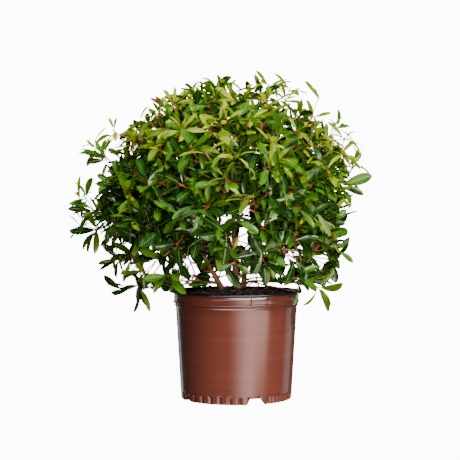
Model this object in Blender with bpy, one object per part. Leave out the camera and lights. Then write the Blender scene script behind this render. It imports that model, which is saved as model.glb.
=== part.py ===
"""A potted bronze beauty cleyera: an evergreen shrub of three stems in its nursery pot.

Metres, +Z up. The origin is the centre of the pot's flat underside, and the viewer stands on the -Y side.
"""

import math
import random

import bmesh
import bpy
from mathutils import Vector
from mathutils.geometry import intersect_ray_tri

# Nursery pot, turned round its axis
POT_HEIGHT = 0.2045
RIM_RADIUS = 0.125
RIM_DEPTH = 0.0075
COLLAR_RADIUS = 0.1185
COLLAR_DEPTH = 0.012
BODY_TOP_RADIUS = 0.1152
BASE_RADIUS = 0.1042
POT_WALL = 0.0022
POT_FLOOR = 0.003
POT_SIDES = 48
DRAIN_COUNT = 4
DRAIN_FIRST_ANGLE = math.radians(-69.5)
DRAIN_WIDTH = 0.030
DRAIN_HEIGHT = 0.011
DRAIN_FLARE = (1.25, 0.62)
DRAIN_DEPTH = 0.012

# Bark compost, mounded to a flat place round the stems
SOIL_TOP = 0.2065
SOIL_EDGE = 0.190
SOIL_FLAT_RADIUS = 0.048
SOIL_SIDES = 28

# Clearances between neighbouring solids
SEAT_GAP = 0.0003
LIMB_GAP = 0.002

# Crown: nearly a ball, whose heart lies a little left of the pot's axis
HEART = Vector((-0.022, 0.0, 0.362))
CROWN_RADII = Vector((0.246, 0.242, 0.250))
LIMB_REACH = 0.40
MASS_STEM_REACH = 0.56
CROWN_EDGE = 1.01
LONG_SHOOT_LEAF = 0.15
INNER_LIMIT = 0.46
FOOT_CLEAR = 0.088
SKIRT_LEVEL = 0.205
LONG_SKIRT_LEVEL = 0.160
RIM_CLEAR = 0.012

# Masses of foliage by ring: name, turn from +X, height angle
RINGS = (
    ("upper", 50, (("front", 275), ("right", 347), ("back_right", 59), ("back_left", 131), ("left", 203))),
    ("middle", 8, (("front", 262), ("front_right", 307), ("right", 352), ("back_right", 37),
                   ("back", 82), ("back_left", 127), ("left", 172), ("front_left", 217))),
    ("lower", -32, (("front_left", 234), ("front_right", 296), ("right", 356),
                    ("back_right", 58), ("back_left", 122), ("left", 182))),
)
LOW_BOUGH_ANGLE = math.radians(-52)
LOW_BOUGH_REACH = 0.47

# Stems: foot radius, tip radius, the mass that each one feeds and guide points from the soil up
STEMS = {
    "stem_main": (0.0066, 0.0026, "foliage_top", (
        (0.001, 0.000, 0.000), (-0.002, 0.001, 0.036), (-0.004, 0.003, 0.076),
        (-0.005, 0.004, 0.137), (-0.004, 0.002, 0.190))),
    "stem_right": (0.0050, 0.0022, "foliage_upper_right", (
        (0.013, 0.014, 0.000), (0.018, 0.014, 0.036), (0.033, 0.013, 0.070), (0.045, 0.008, 0.128))),
    "stem_left": (0.0050, 0.0022, "foliage_upper_left", (
        (-0.027, -0.012, 0.000), (-0.042, -0.017, 0.028), (-0.060, -0.020, 0.060), (-0.070, -0.014, 0.116))),
}
ROOT_FLARE = 0.45
FLARE_HEIGHT = 0.008
STEM_SIDES = 8
STEM_RINGS = 12
BOUGH_SIDES = 5
BOUGH_RINGS = 6
BOUGH_TIP_RADIUS = 0.0016
BOUGH_TAPER = 1.25
BOUGH_SHARE = 0.62
BOUGH_RISE = 0.55
BOUGH_LIFT = 0.75
RISE_COST = 1.5
ARC_PULL = 0.38
SKY_PULL = 0.35
CURVE_STEPS = 24
FINE_STEPS = 400
APART_STEPS = 30

# Long shoots that stand out of the ball, as seen from the front: x and height of each rosette
LONG_SHOOTS = (
    (-0.250, 0.460), (-0.272, 0.356), (-0.268, 0.318), (-0.222, 0.262), (-0.186, 0.214), (-0.133, 0.548),
    (-0.205, 0.494), (-0.072, 0.568), (0.052, 0.572), (0.094, 0.566), (0.140, 0.528), (0.172, 0.492),
    (0.198, 0.462), (0.210, 0.418), (0.176, 0.262), (0.152, 0.212),
)
LONG_SHOOT_DEPTH = 0.045

# Shoots and leaves
SHOOT_SEED = 11
SHOOT_COUNT = 148
OUTER_SHELL = (0.74, 0.86)
INNER_SHELL = (0.54, 0.72)
CANDIDATES = 10
SPACE_MARGIN = 0.007
INTERNODE = 0.055
TURN_COST = 2.2
CROWDED_GAP = 0.02
CROWDED_COST = 0.04
TWIG_SKY_PULL = 0.5
TWIG_RADIUS = 0.0013
TWIG_SIDES = 3
NODE_RADIUS = 0.0030
ROOT_OFFSET = 0.0002
BUD_LENGTH = 0.004
LEAF_LENGTH = 0.074
LEAF_WIDTH = 0.42
LEAF_WAIST = 0.55
LEAF_FOLD = 0.035
LEAF_DROOP = 0.05
LEAF_KEEL = 0.022
LEAF_TRIES = ((1.0, 0.0), (1.0, 0.35), (1.0, -0.35), (0.85, 0.0), (0.85, 0.5), (0.85, -0.5), (0.7, 0.0))
LEAF_GAP = 0.0004

PLAIN_FINISHES = {
    "pot": ((0.216, 0.078, 0.042), 0.38),
    "soil": ((0.030, 0.018, 0.012), 0.95),
    "bark": ((0.205, 0.110, 0.062), 0.80),
    "leaf": ((0.075, 0.155, 0.028), 0.40),
}


def clear_scene():
    for thing in list(bpy.data.objects):
        bpy.data.objects.remove(thing, do_unlink=True)


def finish(name):
    """One plain material by its name in PLAIN_FINISHES."""
    made = bpy.data.materials.get(name)
    if made is None:
        colour, roughness = PLAIN_FINISHES[name]
        made = bpy.data.materials.new(name)
        made.use_nodes = True
        shader = made.node_tree.nodes["Principled BSDF"]
        shader.inputs["Base Color"].default_value = (*colour, 1.0)
        shader.inputs["Roughness"].default_value = roughness
        shader.inputs["Metallic"].default_value = 0.0
    return made


def add_object(name, points, faces, material, smooth_angle=None):
    mesh = bpy.data.meshes.new(name)
    mesh.from_pydata(points, [], faces)
    mesh.materials.append(finish(material))
    if smooth_angle is not None:
        mesh.shade_smooth()
        mesh.set_sharp_from_angle(angle=smooth_angle)
    made = bpy.data.objects.new(name, mesh)
    bpy.context.scene.collection.objects.link(made)
    return made


def turned(profile, sides):
    """Points and faces of a closed solid turned round Z.

    The profile runs from the axis below, round the outside, to the axis above.
    """
    points = [(0, 0, profile[0][1])]
    rings = profile[1:-1]
    for radius, height in rings:
        for step in range(sides):
            angle = math.tau * step / sides
            points.append((radius * math.cos(angle), radius * math.sin(angle), height))
    points.append((0, 0, profile[-1][1]))
    last = len(points) - 1
    faces = []
    for step in range(sides):
        following = (step + 1) % sides
        faces.append((0, 1 + following, 1 + step))
        for ring in range(len(rings) - 1):
            low, high = 1 + ring * sides, 1 + (ring + 1) * sides
            faces.append((low + step, low + following, high + following, high + step))
        top = 1 + (len(rings) - 1) * sides
        faces.append((top + step, top + following, last))
    return points, faces


def wall_radius(height):
    """Outer radius of the pot's tapered wall."""
    share = height / (POT_HEIGHT - RIM_DEPTH - COLLAR_DEPTH)
    return BASE_RADIUS + (BODY_TOP_RADIUS - BASE_RADIUS) * share


def make_pot():
    collar_top = POT_HEIGHT - RIM_DEPTH
    collar_foot = collar_top - COLLAR_DEPTH
    inner_top = COLLAR_RADIUS - POT_WALL
    profile = (
        (0, 0),
        (BASE_RADIUS - 0.003, 0),
        (BASE_RADIUS, 0.003),
        (BODY_TOP_RADIUS, collar_foot),
        (COLLAR_RADIUS, collar_foot + 0.003),
        (COLLAR_RADIUS, collar_top),
        (RIM_RADIUS, collar_top),
        (RIM_RADIUS - 0.0005, POT_HEIGHT - 0.002),
        (RIM_RADIUS - 0.0025, POT_HEIGHT),
        (inner_top + 0.001, POT_HEIGHT),
        (inner_top, collar_foot + 0.004),
        (BODY_TOP_RADIUS - POT_WALL, collar_foot - 0.002),
        (BASE_RADIUS - POT_WALL, POT_FLOOR),
        (0, POT_FLOOR),
    )
    pot = add_object("pot", *turned(profile, POT_SIDES), "pot", math.radians(30))
    for number in range(DRAIN_COUNT):
        cutter = drain_cutter(DRAIN_FIRST_ANGLE + math.tau * number / DRAIN_COUNT - math.pi / 2)
        cut = pot.modifiers.new(cutter.name, "BOOLEAN")
        cut.operation = "DIFFERENCE"
        cut.object = cutter


def drain_cutter(angle):
    """A wedge through the foot of the wall, wider below than above."""
    outward = Vector((math.cos(angle), math.sin(angle), 0))
    along = Vector((-outward.y, outward.x, 0))
    points = []
    for distance in (BASE_RADIUS - DRAIN_DEPTH, BASE_RADIUS + DRAIN_DEPTH):
        for level, flare in zip((-0.004, DRAIN_HEIGHT), DRAIN_FLARE):
            for way in (-1, 1):
                aside = along * (way * flare * DRAIN_WIDTH / 2)
                points.append(outward * distance + aside + Vector((0, 0, level)))
    faces = ((0, 2, 3, 1), (4, 5, 7, 6), (0, 1, 5, 4), (2, 6, 7, 3), (0, 4, 6, 2), (1, 3, 7, 5))
    cutter = add_object(f"drain_cutter_{math.degrees(angle):.0f}", points, faces, "pot")
    cutter.hide_render = True
    cutter.display_type = "WIRE"
    return cutter


def make_soil():
    """The compost fills the pot and rises to its flat middle."""
    bend = POT_HEIGHT - RIM_DEPTH - COLLAR_DEPTH - 0.004
    foot = BASE_RADIUS - POT_WALL - SEAT_GAP
    shoulder = wall_radius(bend) - POT_WALL - 2 * SEAT_GAP
    profile = (
        (0, POT_FLOOR + SEAT_GAP),
        (foot, POT_FLOOR + SEAT_GAP),
        (shoulder, bend),
        (shoulder, SOIL_EDGE),
        (0.082, SOIL_EDGE + 0.010),
        (SOIL_FLAT_RADIUS, SOIL_TOP),
        (0, SOIL_TOP),
    )
    add_object("soil", *turned(profile, SOIL_SIDES), "soil", math.radians(40))


class Limb:
    """A round limb: points down its middle, a radius at each, and the name of its node."""

    def __init__(self, name, points, radii, tip_way):
        self.name = name
        self.points = points
        self.radii = radii
        self.tip_way = tip_way


def smooth_curve(guides, count):
    """Evenly placed points on a curve that passes through the guide points."""
    ends = [guides[0] * 2 - guides[1], *guides, guides[-1] * 2 - guides[-2]]
    dense = []
    for a, b, c, d in zip(ends, ends[1:], ends[2:], ends[3:]):
        for step in range(CURVE_STEPS):
            t = step / CURVE_STEPS
            dense.append(0.5 * ((2 * b) + (c - a) * t + (2 * a - 5 * b + 4 * c - d) * t * t
                                + (3 * b - a - 3 * c + d) * t ** 3))
    dense.append(guides[-1])
    return spaced(dense, count)


def spaced(dense, count):
    """Count points at even distances along a line of many points."""
    run = [0.0]
    for a, b in zip(dense, dense[1:]):
        run.append(run[-1] + (b - a).length)
    found, place = [], 0
    for step in range(count):
        goal = run[-1] * step / (count - 1)
        while place < len(run) - 2 and run[place + 1] < goal:
            place += 1
        share = (goal - run[place]) / (run[place + 1] - run[place])
        found.append(dense[place].lerp(dense[place + 1], min(1, share)))
    return found


def bend_points(start, start_way, end, end_way, count):
    """Points of one arc that leaves start and arrives at end in the ways given."""
    pull = (end - start).length * ARC_PULL
    a, b, c, d = start, start + start_way * pull, end - end_way * pull, end
    found = []
    for step in range(count):
        t = step / (count - 1)
        u = 1 - t
        found.append(a * u ** 3 + b * (3 * u * u * t) + c * (3 * u * t * t) + d * t ** 3)
    return found


def tube(points, radii, sides, first_way=None, last_way=None):
    """Points and faces of a closed limb with flat ends, whose rings turn as little as they can."""
    ways = [(b - a).normalized() for a, b in zip(points, points[1:])]
    ways = [ways[0], *[(a + b).normalized() for a, b in zip(ways, ways[1:])], ways[-1]]
    ways[0] = first_way or ways[0]
    ways[-1] = last_way or ways[-1]
    across = ways[0].orthogonal().normalized()
    corners = []
    for point, way, radius in zip(points, ways, radii):
        across = (across - way * across.dot(way)).normalized()
        other = way.cross(across)
        for step in range(sides):
            angle = math.tau * step / sides
            corners.append(point + radius * (across * math.cos(angle) + other * math.sin(angle)))
    faces = [tuple(range(sides))[::-1]]
    for ring in range(len(points) - 1):
        low, high = ring * sides, (ring + 1) * sides
        for step in range(sides):
            following = (step + 1) % sides
            faces.append((low + step, low + following, high + following, high + step))
    faces.append(tuple(range(len(corners) - sides, len(corners))))
    return corners, faces


def crown_way(turn, height):
    """Unit direction from the crown's heart, from a turn and a height angle in radians."""
    return Vector((math.cos(height) * math.cos(turn), math.cos(height) * math.sin(turn), math.sin(height)))


def crown_place(way, share):
    """The place at a share of the crown's reach in one direction."""
    scale = Vector(w / r for w, r in zip(way, CROWN_RADII)).length
    return HEART + way * (share / scale)


def crown_share(place):
    """How far out a place lies: 0 at the heart, 1 at the crown's skin."""
    return Vector((p - h) / r for p, h, r in zip(place, HEART, CROWN_RADII)).length


class Mass:
    """One mass of foliage: the part of the crown that lies nearest to its own direction."""

    def __init__(self, name, turn, height):
        self.name = name
        self.way = crown_way(math.radians(turn), math.radians(height))
        self.walls = []
        self.bough = None
        low = height < 0
        bough_way = crown_way(math.radians(turn), LOW_BOUGH_ANGLE) if low else self.way
        self.entry = crown_place(bough_way, LOW_BOUGH_REACH if low else LIMB_REACH)
        self.entry_way = (bough_way + self.way + Vector((0, 0, SKY_PULL))).normalized()

    def find_walls(self, masses):
        """Normals of the planes through the heart that part this mass from the others."""
        self.walls = [(self.way - other.way).normalized() for other in masses if other is not self]

    def room(self, place):
        """How deep a place lies inside this mass's own space. Below zero it's outside."""
        return min((place - HEART).dot(wall) for wall in self.walls)


def make_masses():
    masses = [Mass("foliage_top", 0, 90)]
    for ring, height, places in RINGS:
        masses += [Mass(f"foliage_{ring}_{side}", turn, height) for side, turn in places]
    for mass in masses:
        mass.find_walls(masses)
    return masses


def clear_of_limbs_and_pot(place, skirt):
    """Foliage keeps above its skirt and out of the room that the limbs, the soil and the rim take up."""
    across = math.hypot(place.x, place.y)
    if crown_share(place) < INNER_LIMIT or place.z < skirt:
        return False
    if place.z < HEART.z and across < FOOT_CLEAR:
        return False
    return place.z > POT_HEIGHT + RIM_CLEAR or across > RIM_RADIUS + RIM_CLEAR


def grow_stems(masses):
    """The three stems, from a flat cut at the soil to where they enter a mass."""
    stems = []
    for name, (foot_radius, tip_radius, fed, guides) in STEMS.items():
        mass = next(m for m in masses if m.name == fed)
        level = Vector((0, 0, SOIL_TOP + SEAT_GAP))
        line = [level + Vector(g) for g in guides] + [mass.entry]
        points = smooth_curve(line, STEM_RINGS)
        radii = []
        for step, point in enumerate(points):
            share = step / (STEM_RINGS - 1)
            flare = ROOT_FLARE * math.exp(-(point.z - points[0].z) / FLARE_HEIGHT)
            radii.append((foot_radius + (tip_radius - foot_radius) * share ** 0.8) * (1 + flare))
        tip_way = (points[-1] - points[-2]).normalized()
        stem = Limb(name, points, radii, tip_way)
        corners, faces = tube(points, radii, STEM_SIDES, Vector((0, 0, 1)), tip_way)
        add_object(name, corners, faces, "bark", math.radians(50))
        mass.entry_way = tip_way
        mass.bough = stem
        stems.append(stem)
    return stems


def grow_bough(mass, stems, limbs):
    """One bough from the place on a stem that suits the mass best, clear of every other limb."""
    tries = []
    for stem in stems:
        for ring in range(2, STEM_RINGS - 1):
            start = stem.points[ring]
            gap = mass.entry - start
            level = math.hypot(gap.x, gap.y)
            tries.append((level + abs(gap.z - BOUGH_RISE * level) * RISE_COST, ring, stem))
    for _, ring, stem in sorted(tries, key=lambda one: one[0]):
        limb = bough_from(mass, stem, ring)
        if limb and all(limbs_apart(limb, other) for other in limbs if other is not stem):
            return limb
    raise ValueError(f"no clear way for the bough of {mass.name}")


def bough_from(mass, stem, ring):
    start = stem.points[ring]
    along = (stem.points[ring + 1] - start).normalized()
    out = mass.entry - start
    out -= along * out.dot(along)
    leave = (along * BOUGH_LIFT + out.normalized()).normalized()
    dense = bend_points(start, leave, mass.entry, mass.entry_way, FINE_STEPS)
    base_radius = max(BOUGH_TIP_RADIUS * BOUGH_TAPER, stem.radii[ring] * BOUGH_SHARE)
    first = first_clear(dense, base_radius, stem)
    if first is None:
        return None
    points = spaced(dense[first:], BOUGH_RINGS)
    thinning = (BOUGH_TIP_RADIUS - base_radius) / (BOUGH_RINGS - 1)
    radii = [base_radius + thinning * ring_number for ring_number in range(BOUGH_RINGS)]
    limb = Limb(mass.name.replace("foliage", "bough"), points, radii, mass.entry_way)
    limb.base_way = (dense[first + 1] - dense[first]).normalized()
    return limb


def first_clear(dense, radius, stem):
    """The first place along a fine line where a ring of this radius stands clear of the stem's skin."""
    for step, place in enumerate(dense[:FINE_STEPS // 2]):
        way = (dense[step + 1] - place).normalized()
        across = way.orthogonal().normalized()
        other = way.cross(across)
        turns = [math.tau * k / BOUGH_SIDES for k in range(BOUGH_SIDES)]
        rim = [place + radius * (across * math.cos(a) + other * math.sin(a)) for a in turns]
        if min(skin_gap(corner, stem) for corner in rim) >= SEAT_GAP:
            return step
    return None


def skin_gap(place, limb):
    """Distance from a place to a limb's skin, measured to the straight runs between its points."""
    least = 1.0
    for a, b, ra, rb in zip(limb.points, limb.points[1:], limb.radii, limb.radii[1:]):
        run = b - a
        t = min(1, max(0, (place - a).dot(run) / run.length_squared))
        least = min(least, (place - a.lerp(b, t)).length - (ra + (rb - ra) * t))
    return least


def limbs_apart(one, other):
    return all(skin_gap(point, other) > one.radii[0] + LIMB_GAP for point in spaced(one.points, APART_STEPS))


def grow_boughs(masses, stems):
    limbs = list(stems)
    for mass in sorted(masses, key=lambda m: m.entry.z):
        if mass.bough:
            continue
        limb = grow_bough(mass, stems, limbs)
        mass.bough = limb
        limbs.append(limb)
        corners, faces = tube(limb.points, limb.radii, BOUGH_SIDES, limb.base_way, limb.tip_way)
        add_object(limb.name, corners, faces, "bark", math.radians(50))


def spread_shoots(masses, count):
    """Places of the rosettes, in the order they come, each as far from the others as it can be."""
    rng = random.Random(SHOOT_SEED)
    shoots = []
    for x, z in LONG_SHOOTS:
        place = Vector((x, rng.uniform(-1, 1) * LONG_SHOOT_DEPTH, z))
        mass = max(masses, key=lambda m: (place - HEART).normalized().dot(m.way))
        shoots.append((place, mass))
    while len(shoots) < count:
        low, high = INNER_SHELL if len(shoots) % 4 == 3 else OUTER_SHELL
        best = None
        for _ in range(CANDIDATES):
            way = Vector((rng.gauss(0, 1), rng.gauss(0, 1), rng.gauss(0, 1))).normalized()
            place = crown_place(way, rng.uniform(low, high))
            mass = max(masses, key=lambda m: way.dot(m.way))
            if mass.room(place) < SPACE_MARGIN or not clear_of_limbs_and_pot(place, SKIRT_LEVEL):
                continue
            apart = min((place - other).length for other, _ in shoots)
            if best is None or apart > best[0]:
                best = (apart, place, mass)
        if best:
            shoots.append(best[1:])
    return shoots


class Twig:
    """A twig through its nodes, from the node that it springs from to the rosette of one shoot."""

    def __init__(self, stops, start_way, way, number=None):
        self.stops = stops
        self.start_way = start_way
        self.place = stops[-1]
        self.way = way
        self.number = number


def grow_twigs(mass, places):
    """Twigs branch from the mass's stem: each joins the node that costs it the least length and turn."""
    foot = mass.entry + mass.entry_way * SEAT_GAP
    twigs = [Twig([foot, crown_place(mass.way, MASS_STEM_REACH)], mass.entry_way, mass.way)]
    nodes = [(twigs[0].place, mass.way)]
    for number, place in places:
        start, way = min(nodes, key=lambda node: effort(place - node[0], node[1]))
        run = (place - start).normalized()
        steps = max(1, round((place - start).length / INTERNODE))
        end_way = ((place - HEART).normalized() + run + Vector((0, 0, TWIG_SKY_PULL))).normalized()
        stops = bend_points(start, (way + run).normalized(), place, end_way, steps + 1)
        nodes += [(b, (b - a).normalized()) for a, b in zip(stops, stops[1:-1])]
        nodes.append((place, end_way))
        twigs.append(Twig(stops, None, end_way, number))
    return twigs


def effort(gap, way):
    """What it costs a twig to grow across a gap from a node that points this way."""
    turning = TURN_COST - gap.normalized().dot(way)
    return gap.length * turning + (CROWDED_COST if gap.length < CROWDED_GAP else 0)


def twig_solid(twig):
    points = [*twig.stops, twig.place + twig.way * BUD_LENGTH]
    radii = [TWIG_RADIUS * 1.15, *[TWIG_RADIUS] * (len(points) - 3), NODE_RADIUS, NODE_RADIUS * 0.3]
    return tube(points, radii, TWIG_SIDES, twig.start_way, twig.way)


def leaf_corners(root, along, upper, length):
    """Corners of a leaf folded along its rib: root, tip, both edges, and the keel under the rib."""
    side = along.cross(upper)
    waist = root + along * (LEAF_WAIST * length)
    half = side * (length * LEAF_WIDTH / 2)
    fold = waist + upper * (length * LEAF_FOLD)
    tip = root + along * length - upper * (length * LEAF_DROOP)
    return [root, tip, fold + half, fold - half, waist - upper * (length * LEAF_KEEL)]


LEAF_FACES = ((0, 2, 1), (0, 1, 3), (2, 0, 4), (1, 2, 4), (3, 1, 4), (0, 3, 4))


def rosette(twig):
    """Turn, lean and size of each leaf of one rosette: some upright, most spreading."""
    rng = random.Random(SHOOT_SEED * 1000 + twig.number)
    turn = rng.uniform(0, math.tau)
    count = rng.choice((5, 5, 6))
    leaves = []
    for step in range(count):
        low, high = (52, 80) if step % 3 else (36, 54)
        angle = turn + math.tau * step / count + rng.uniform(-0.25, 0.25)
        leaves.append((angle, math.radians(rng.uniform(low, high)), rng.uniform(0.82, 1.12)))
    return leaves


def leaf_stance(twig, angle, lean):
    """Root, direction and upper side of a leaf that leaves the twig's end at this turn and lean."""
    across = twig.way.orthogonal().normalized()
    out = across * math.cos(angle) + twig.way.cross(across) * math.sin(angle)
    along = twig.way * math.cos(lean) + out * math.sin(lean)
    upper = (twig.way - along * twig.way.dot(along)).normalized()
    return twig.place + along * ROOT_OFFSET, along, upper


def fits(corners, mass, reach, skirt):
    """A leaf stays in its mass's own space and touches no limb and no pot."""
    root, tip = corners[0], corners[1]
    tests = [*corners[1:4], *(root.lerp(tip, k / 4) for k in range(1, 4))]
    return all(
        mass.room(place) > LEAF_GAP and clear_of_limbs_and_pot(place, skirt) and crown_share(place) < reach
        for place in tests
    )


def crosses(one, other):
    """Whether two leaves cut through each other, away from their roots."""
    if (one[4] - other[4]).length > LEAF_LENGTH * 1.2:
        return False
    return outline_cuts(one, other) or outline_cuts(other, one)


def outline_cuts(one, other):
    root, tip, right, left = one[:4]
    runs = ((root.lerp(right, 0.2), right), (right, tip), (tip, left), (left, root.lerp(left, 0.2)),
            (root.lerp(tip, 0.15), tip))
    far = other[0].lerp(other[1], 0.1)
    for start, end in runs:
        way = end - start
        for edge in other[2:4]:
            hit = intersect_ray_tri(far, other[1], edge, way, start, True)
            if hit and 0 <= (hit - start).dot(way) <= way.length_squared:
                return True
    return False


def join_solids(name, solids):
    """One closed body from overlapping solids, by one union on a collection."""
    helpers = bpy.data.collections.new(name + "_pieces")
    bpy.context.scene.collection.children.link(helpers)
    base = add_object(name, *solids[0], "leaf")
    for number, (points, faces) in enumerate(solids[1:]):
        piece = add_object(f"{name}_piece_{number}", points, faces, "leaf")
        bpy.context.scene.collection.objects.unlink(piece)
        helpers.objects.link(piece)
    union = base.modifiers.new("join", "BOOLEAN")
    union.operation = "UNION"
    union.operand_type = "COLLECTION"
    union.collection = helpers
    union.solver = "EXACT"
    joined = bpy.data.meshes.new_from_object(base.evaluated_get(bpy.context.evaluated_depsgraph_get()))
    base.modifiers.clear()
    base.data = joined
    for piece in list(helpers.objects):
        bpy.data.objects.remove(piece, do_unlink=True)
    bpy.data.collections.remove(helpers)
    keep_largest_body(joined)


def keep_largest_body(mesh):
    """Drops loose scraps and the skins of sealed hollows, so that one body is left."""
    work = bmesh.new()
    work.from_mesh(mesh)
    left = set(work.verts)
    bodies = []
    while left:
        body, edge = set(), [left.pop()]
        while edge:
            corner = edge.pop()
            body.add(corner)
            for link in corner.link_edges:
                far = link.other_vert(corner)
                if far in left:
                    left.remove(far)
                    edge.append(far)
        bodies.append(body)
    bodies.sort(key=len)
    for body in bodies[:-1]:
        bmesh.ops.delete(work, geom=list(body), context="VERTS")
    work.to_mesh(mesh)
    work.free()


def grow_leaves(twig, mass, leaves):
    """Adds the leaves of one rosette that find room beside those already there."""
    reach = max(CROWN_EDGE, crown_share(twig.place) + LONG_SHOOT_LEAF)
    skirt = LONG_SKIRT_LEVEL if twig.number < len(LONG_SHOOTS) else SKIRT_LEVEL
    for angle, lean, size in rosette(twig):
        for shrink, twist in LEAF_TRIES:
            corners = leaf_corners(*leaf_stance(twig, angle + twist, lean), LEAF_LENGTH * size * shrink)
            if fits(corners, mass, reach, skirt) and not any(crosses(corners, other) for other in leaves):
                leaves.append(corners)
                break


def grow_foliage(masses):
    shoots = spread_shoots(masses, SHOOT_COUNT)
    for mass in masses:
        places = [(number, place) for number, (place, owner) in enumerate(shoots) if owner is mass]
        twigs = grow_twigs(mass, places)
        leaves = []
        for twig in twigs[1:]:
            grow_leaves(twig, mass, leaves)
        solids = [twig_solid(twig) for twig in twigs]
        solids += [(corners, LEAF_FACES) for corners in leaves]
        join_solids(mass.name, solids)


def main():
    clear_scene()
    make_pot()
    make_soil()
    masses = make_masses()
    stems = grow_stems(masses)
    grow_boughs(masses, stems)
    grow_foliage(masses)


main()
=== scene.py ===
"""A potted bronze beauty cleyera on a white studio sweep, seen from the front at the height of its crown.

Metres, +Z up. The origin is the centre of the pot's flat underside, and the viewer stands on the -Y side.
"""

import random
from collections import namedtuple
from math import cos, exp, hypot, pi, radians, sin, sqrt, tan, tau

import bpy
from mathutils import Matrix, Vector, noise


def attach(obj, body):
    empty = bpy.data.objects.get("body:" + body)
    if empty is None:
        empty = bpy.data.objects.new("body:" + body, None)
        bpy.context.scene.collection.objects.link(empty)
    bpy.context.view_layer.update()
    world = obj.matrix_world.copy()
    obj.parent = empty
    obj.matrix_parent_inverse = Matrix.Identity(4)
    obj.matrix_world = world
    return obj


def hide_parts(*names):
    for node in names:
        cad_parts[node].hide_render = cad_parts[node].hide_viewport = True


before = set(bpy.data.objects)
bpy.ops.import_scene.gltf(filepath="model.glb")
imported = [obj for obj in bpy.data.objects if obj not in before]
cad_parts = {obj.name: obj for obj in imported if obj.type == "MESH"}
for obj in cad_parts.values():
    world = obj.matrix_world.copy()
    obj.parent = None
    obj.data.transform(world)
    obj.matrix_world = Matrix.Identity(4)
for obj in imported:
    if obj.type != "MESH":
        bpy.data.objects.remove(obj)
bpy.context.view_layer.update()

UP = Vector((0, 0, 1))


def metres(sizes):
    """The whole millimetres of a nested table in metres. Fractions and words in it stay as they are."""
    if isinstance(sizes, tuple):
        return tuple(metres(size) for size in sizes)
    return sizes / 1000 if isinstance(sizes, int) else sizes


# Nursery pot
POT_HEIGHT = 0.2045
RIM_RADIUS = 0.125
RIM_DEPTH = 0.0045
COLLAR_RADIUS = 0.1185
BODY_TOP_RADIUS = 0.1158
BASE_RADIUS = 0.1049
COLLAR_FOOT = 0.185
UNDERSIDE_LEVEL = 0.0128
FLOOR_LEVEL = 0.0148
POT_COLUMNS = 540
FLUTE_PITCH = radians(10.3)
FLUTE_PHASE = radians(3.5)
FLUTE_WIDTH = radians(1.5)
FLUTE_TOP = 0.0152
FLUTE_DEPTH = 0.0036
FLUTE_TOP_FADE = 0.0026
FLUTE_FOOT_FADE = 0.002
CLOSE_FLUTES_TURN = radians(38)
TICK_TURNS = (radians(13), radians(28))
TICK_HALF_WIDTH = radians(0.7)
TICK_DEPTH = 0.0016
DENT_TURN = radians(72)
DENT_LEVEL = 0.160
DENT_SPREAD = (0.16, 0.018)
DENT_DEPTH = 0.0012
# Each notch's turn from the front and its width, then its height against its flare
DRAIN_NOTCHES = ((20.5, 0.030), (110.5, 0.030), (200.5, 0.030), (-61.0, 0.0185))
DRAIN_LEVELS = ((-0.004, 1.26), (0.0010, 1.14), (0.0050, 0.93), (0.0085, 0.80), (0.0112, 0.72))
# Radius against height: the foot, the ring below the collar with the collar, the rolled lip, and the inside
FOOT_PROFILE = (
    (0.093, UNDERSIDE_LEVEL), (0.0965, 0.0120), (BASE_RADIUS - 0.006, 0.002), (BASE_RADIUS - 0.005, 0.0),
    (BASE_RADIUS - 0.0015, 0.0), (BASE_RADIUS - 0.0003, 0.0010),
)
COLLAR_PROFILE = (
    (0.1153, 0.1752), (0.1164, 0.1757), (0.1169, 0.1769), (0.1172, 0.1776), (0.1170, 0.1785),
    (0.1167, 0.1792), (0.1162, 0.1797), (0.1154, 0.1801), (0.1154, 0.1808), (0.1160, 0.1811),
    (0.1184, 0.1814), (0.1191, 0.1819), (0.1196, 0.1831), (0.1196, 0.1835), (0.1194, 0.1844),
    (0.1190, 0.1850), (COLLAR_RADIUS, 0.1857), (COLLAR_RADIUS, 0.1900), (COLLAR_RADIUS, 0.1935),
    (0.1190, 0.1944), (0.1187, 0.1958), (0.1184, 0.1973), (0.1181, 0.1988), (0.1171, 0.2000),
)
LIP_PROFILE = (
    (0.1180, 0.2002), (0.1225, 0.2002), (0.1240, 0.2003), (0.1244, 0.2006), (RIM_RADIUS, 0.2020),
    (0.1249, 0.2028), (0.1244, 0.2036), (0.1233, 0.2042), (0.1218, POT_HEIGHT), (0.1200, 0.2042),
    (0.1182, 0.2032), (0.1172, 0.2016),
)
INNER_PROFILE = (
    (0.1163, 0.1990), (0.1160, 0.1900), (0.1130, 0.1840), (0.1120, 0.1700), (0.1080, 0.0800),
    (0.1030, 0.0170), (0.0950, FLOOR_LEVEL),
)

# Compost, and a dark block of its peat under the pot's raised base that shows through the left drain notch as
# painted shade
SOIL_TOP = 0.2065
SOIL_EDGE = 0.190
SOIL_FLAT_RADIUS = 0.048
SOIL_RADIUS = 0.1135
SOIL_FOOT = 0.184
SOIL_RINGS = 40
SOIL_COLUMNS = 120
SOIL_INNER_RADIUS = 0.002
# How far the mesh lies below the mound, and the height of its lumps by the scale of their pattern
SOIL_SETTLE = 0.0015
SOIL_LUMPS = {160: 0.0016, 420: 0.0008}
CHIP_SEED = 5
CHIP_COUNT = 1500
CHIP_MARGIN = 0.006
CHIP_LIFT = (-0.001, 0.0015)
CHIP_TILT = 0.5
CHIP_HALF_SIZES = ((0.003, 0.009), (0.0012, 0.0032), (0.0006, 0.0014))
CHIP_SKEW = (0.55, 1.1)
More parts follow.
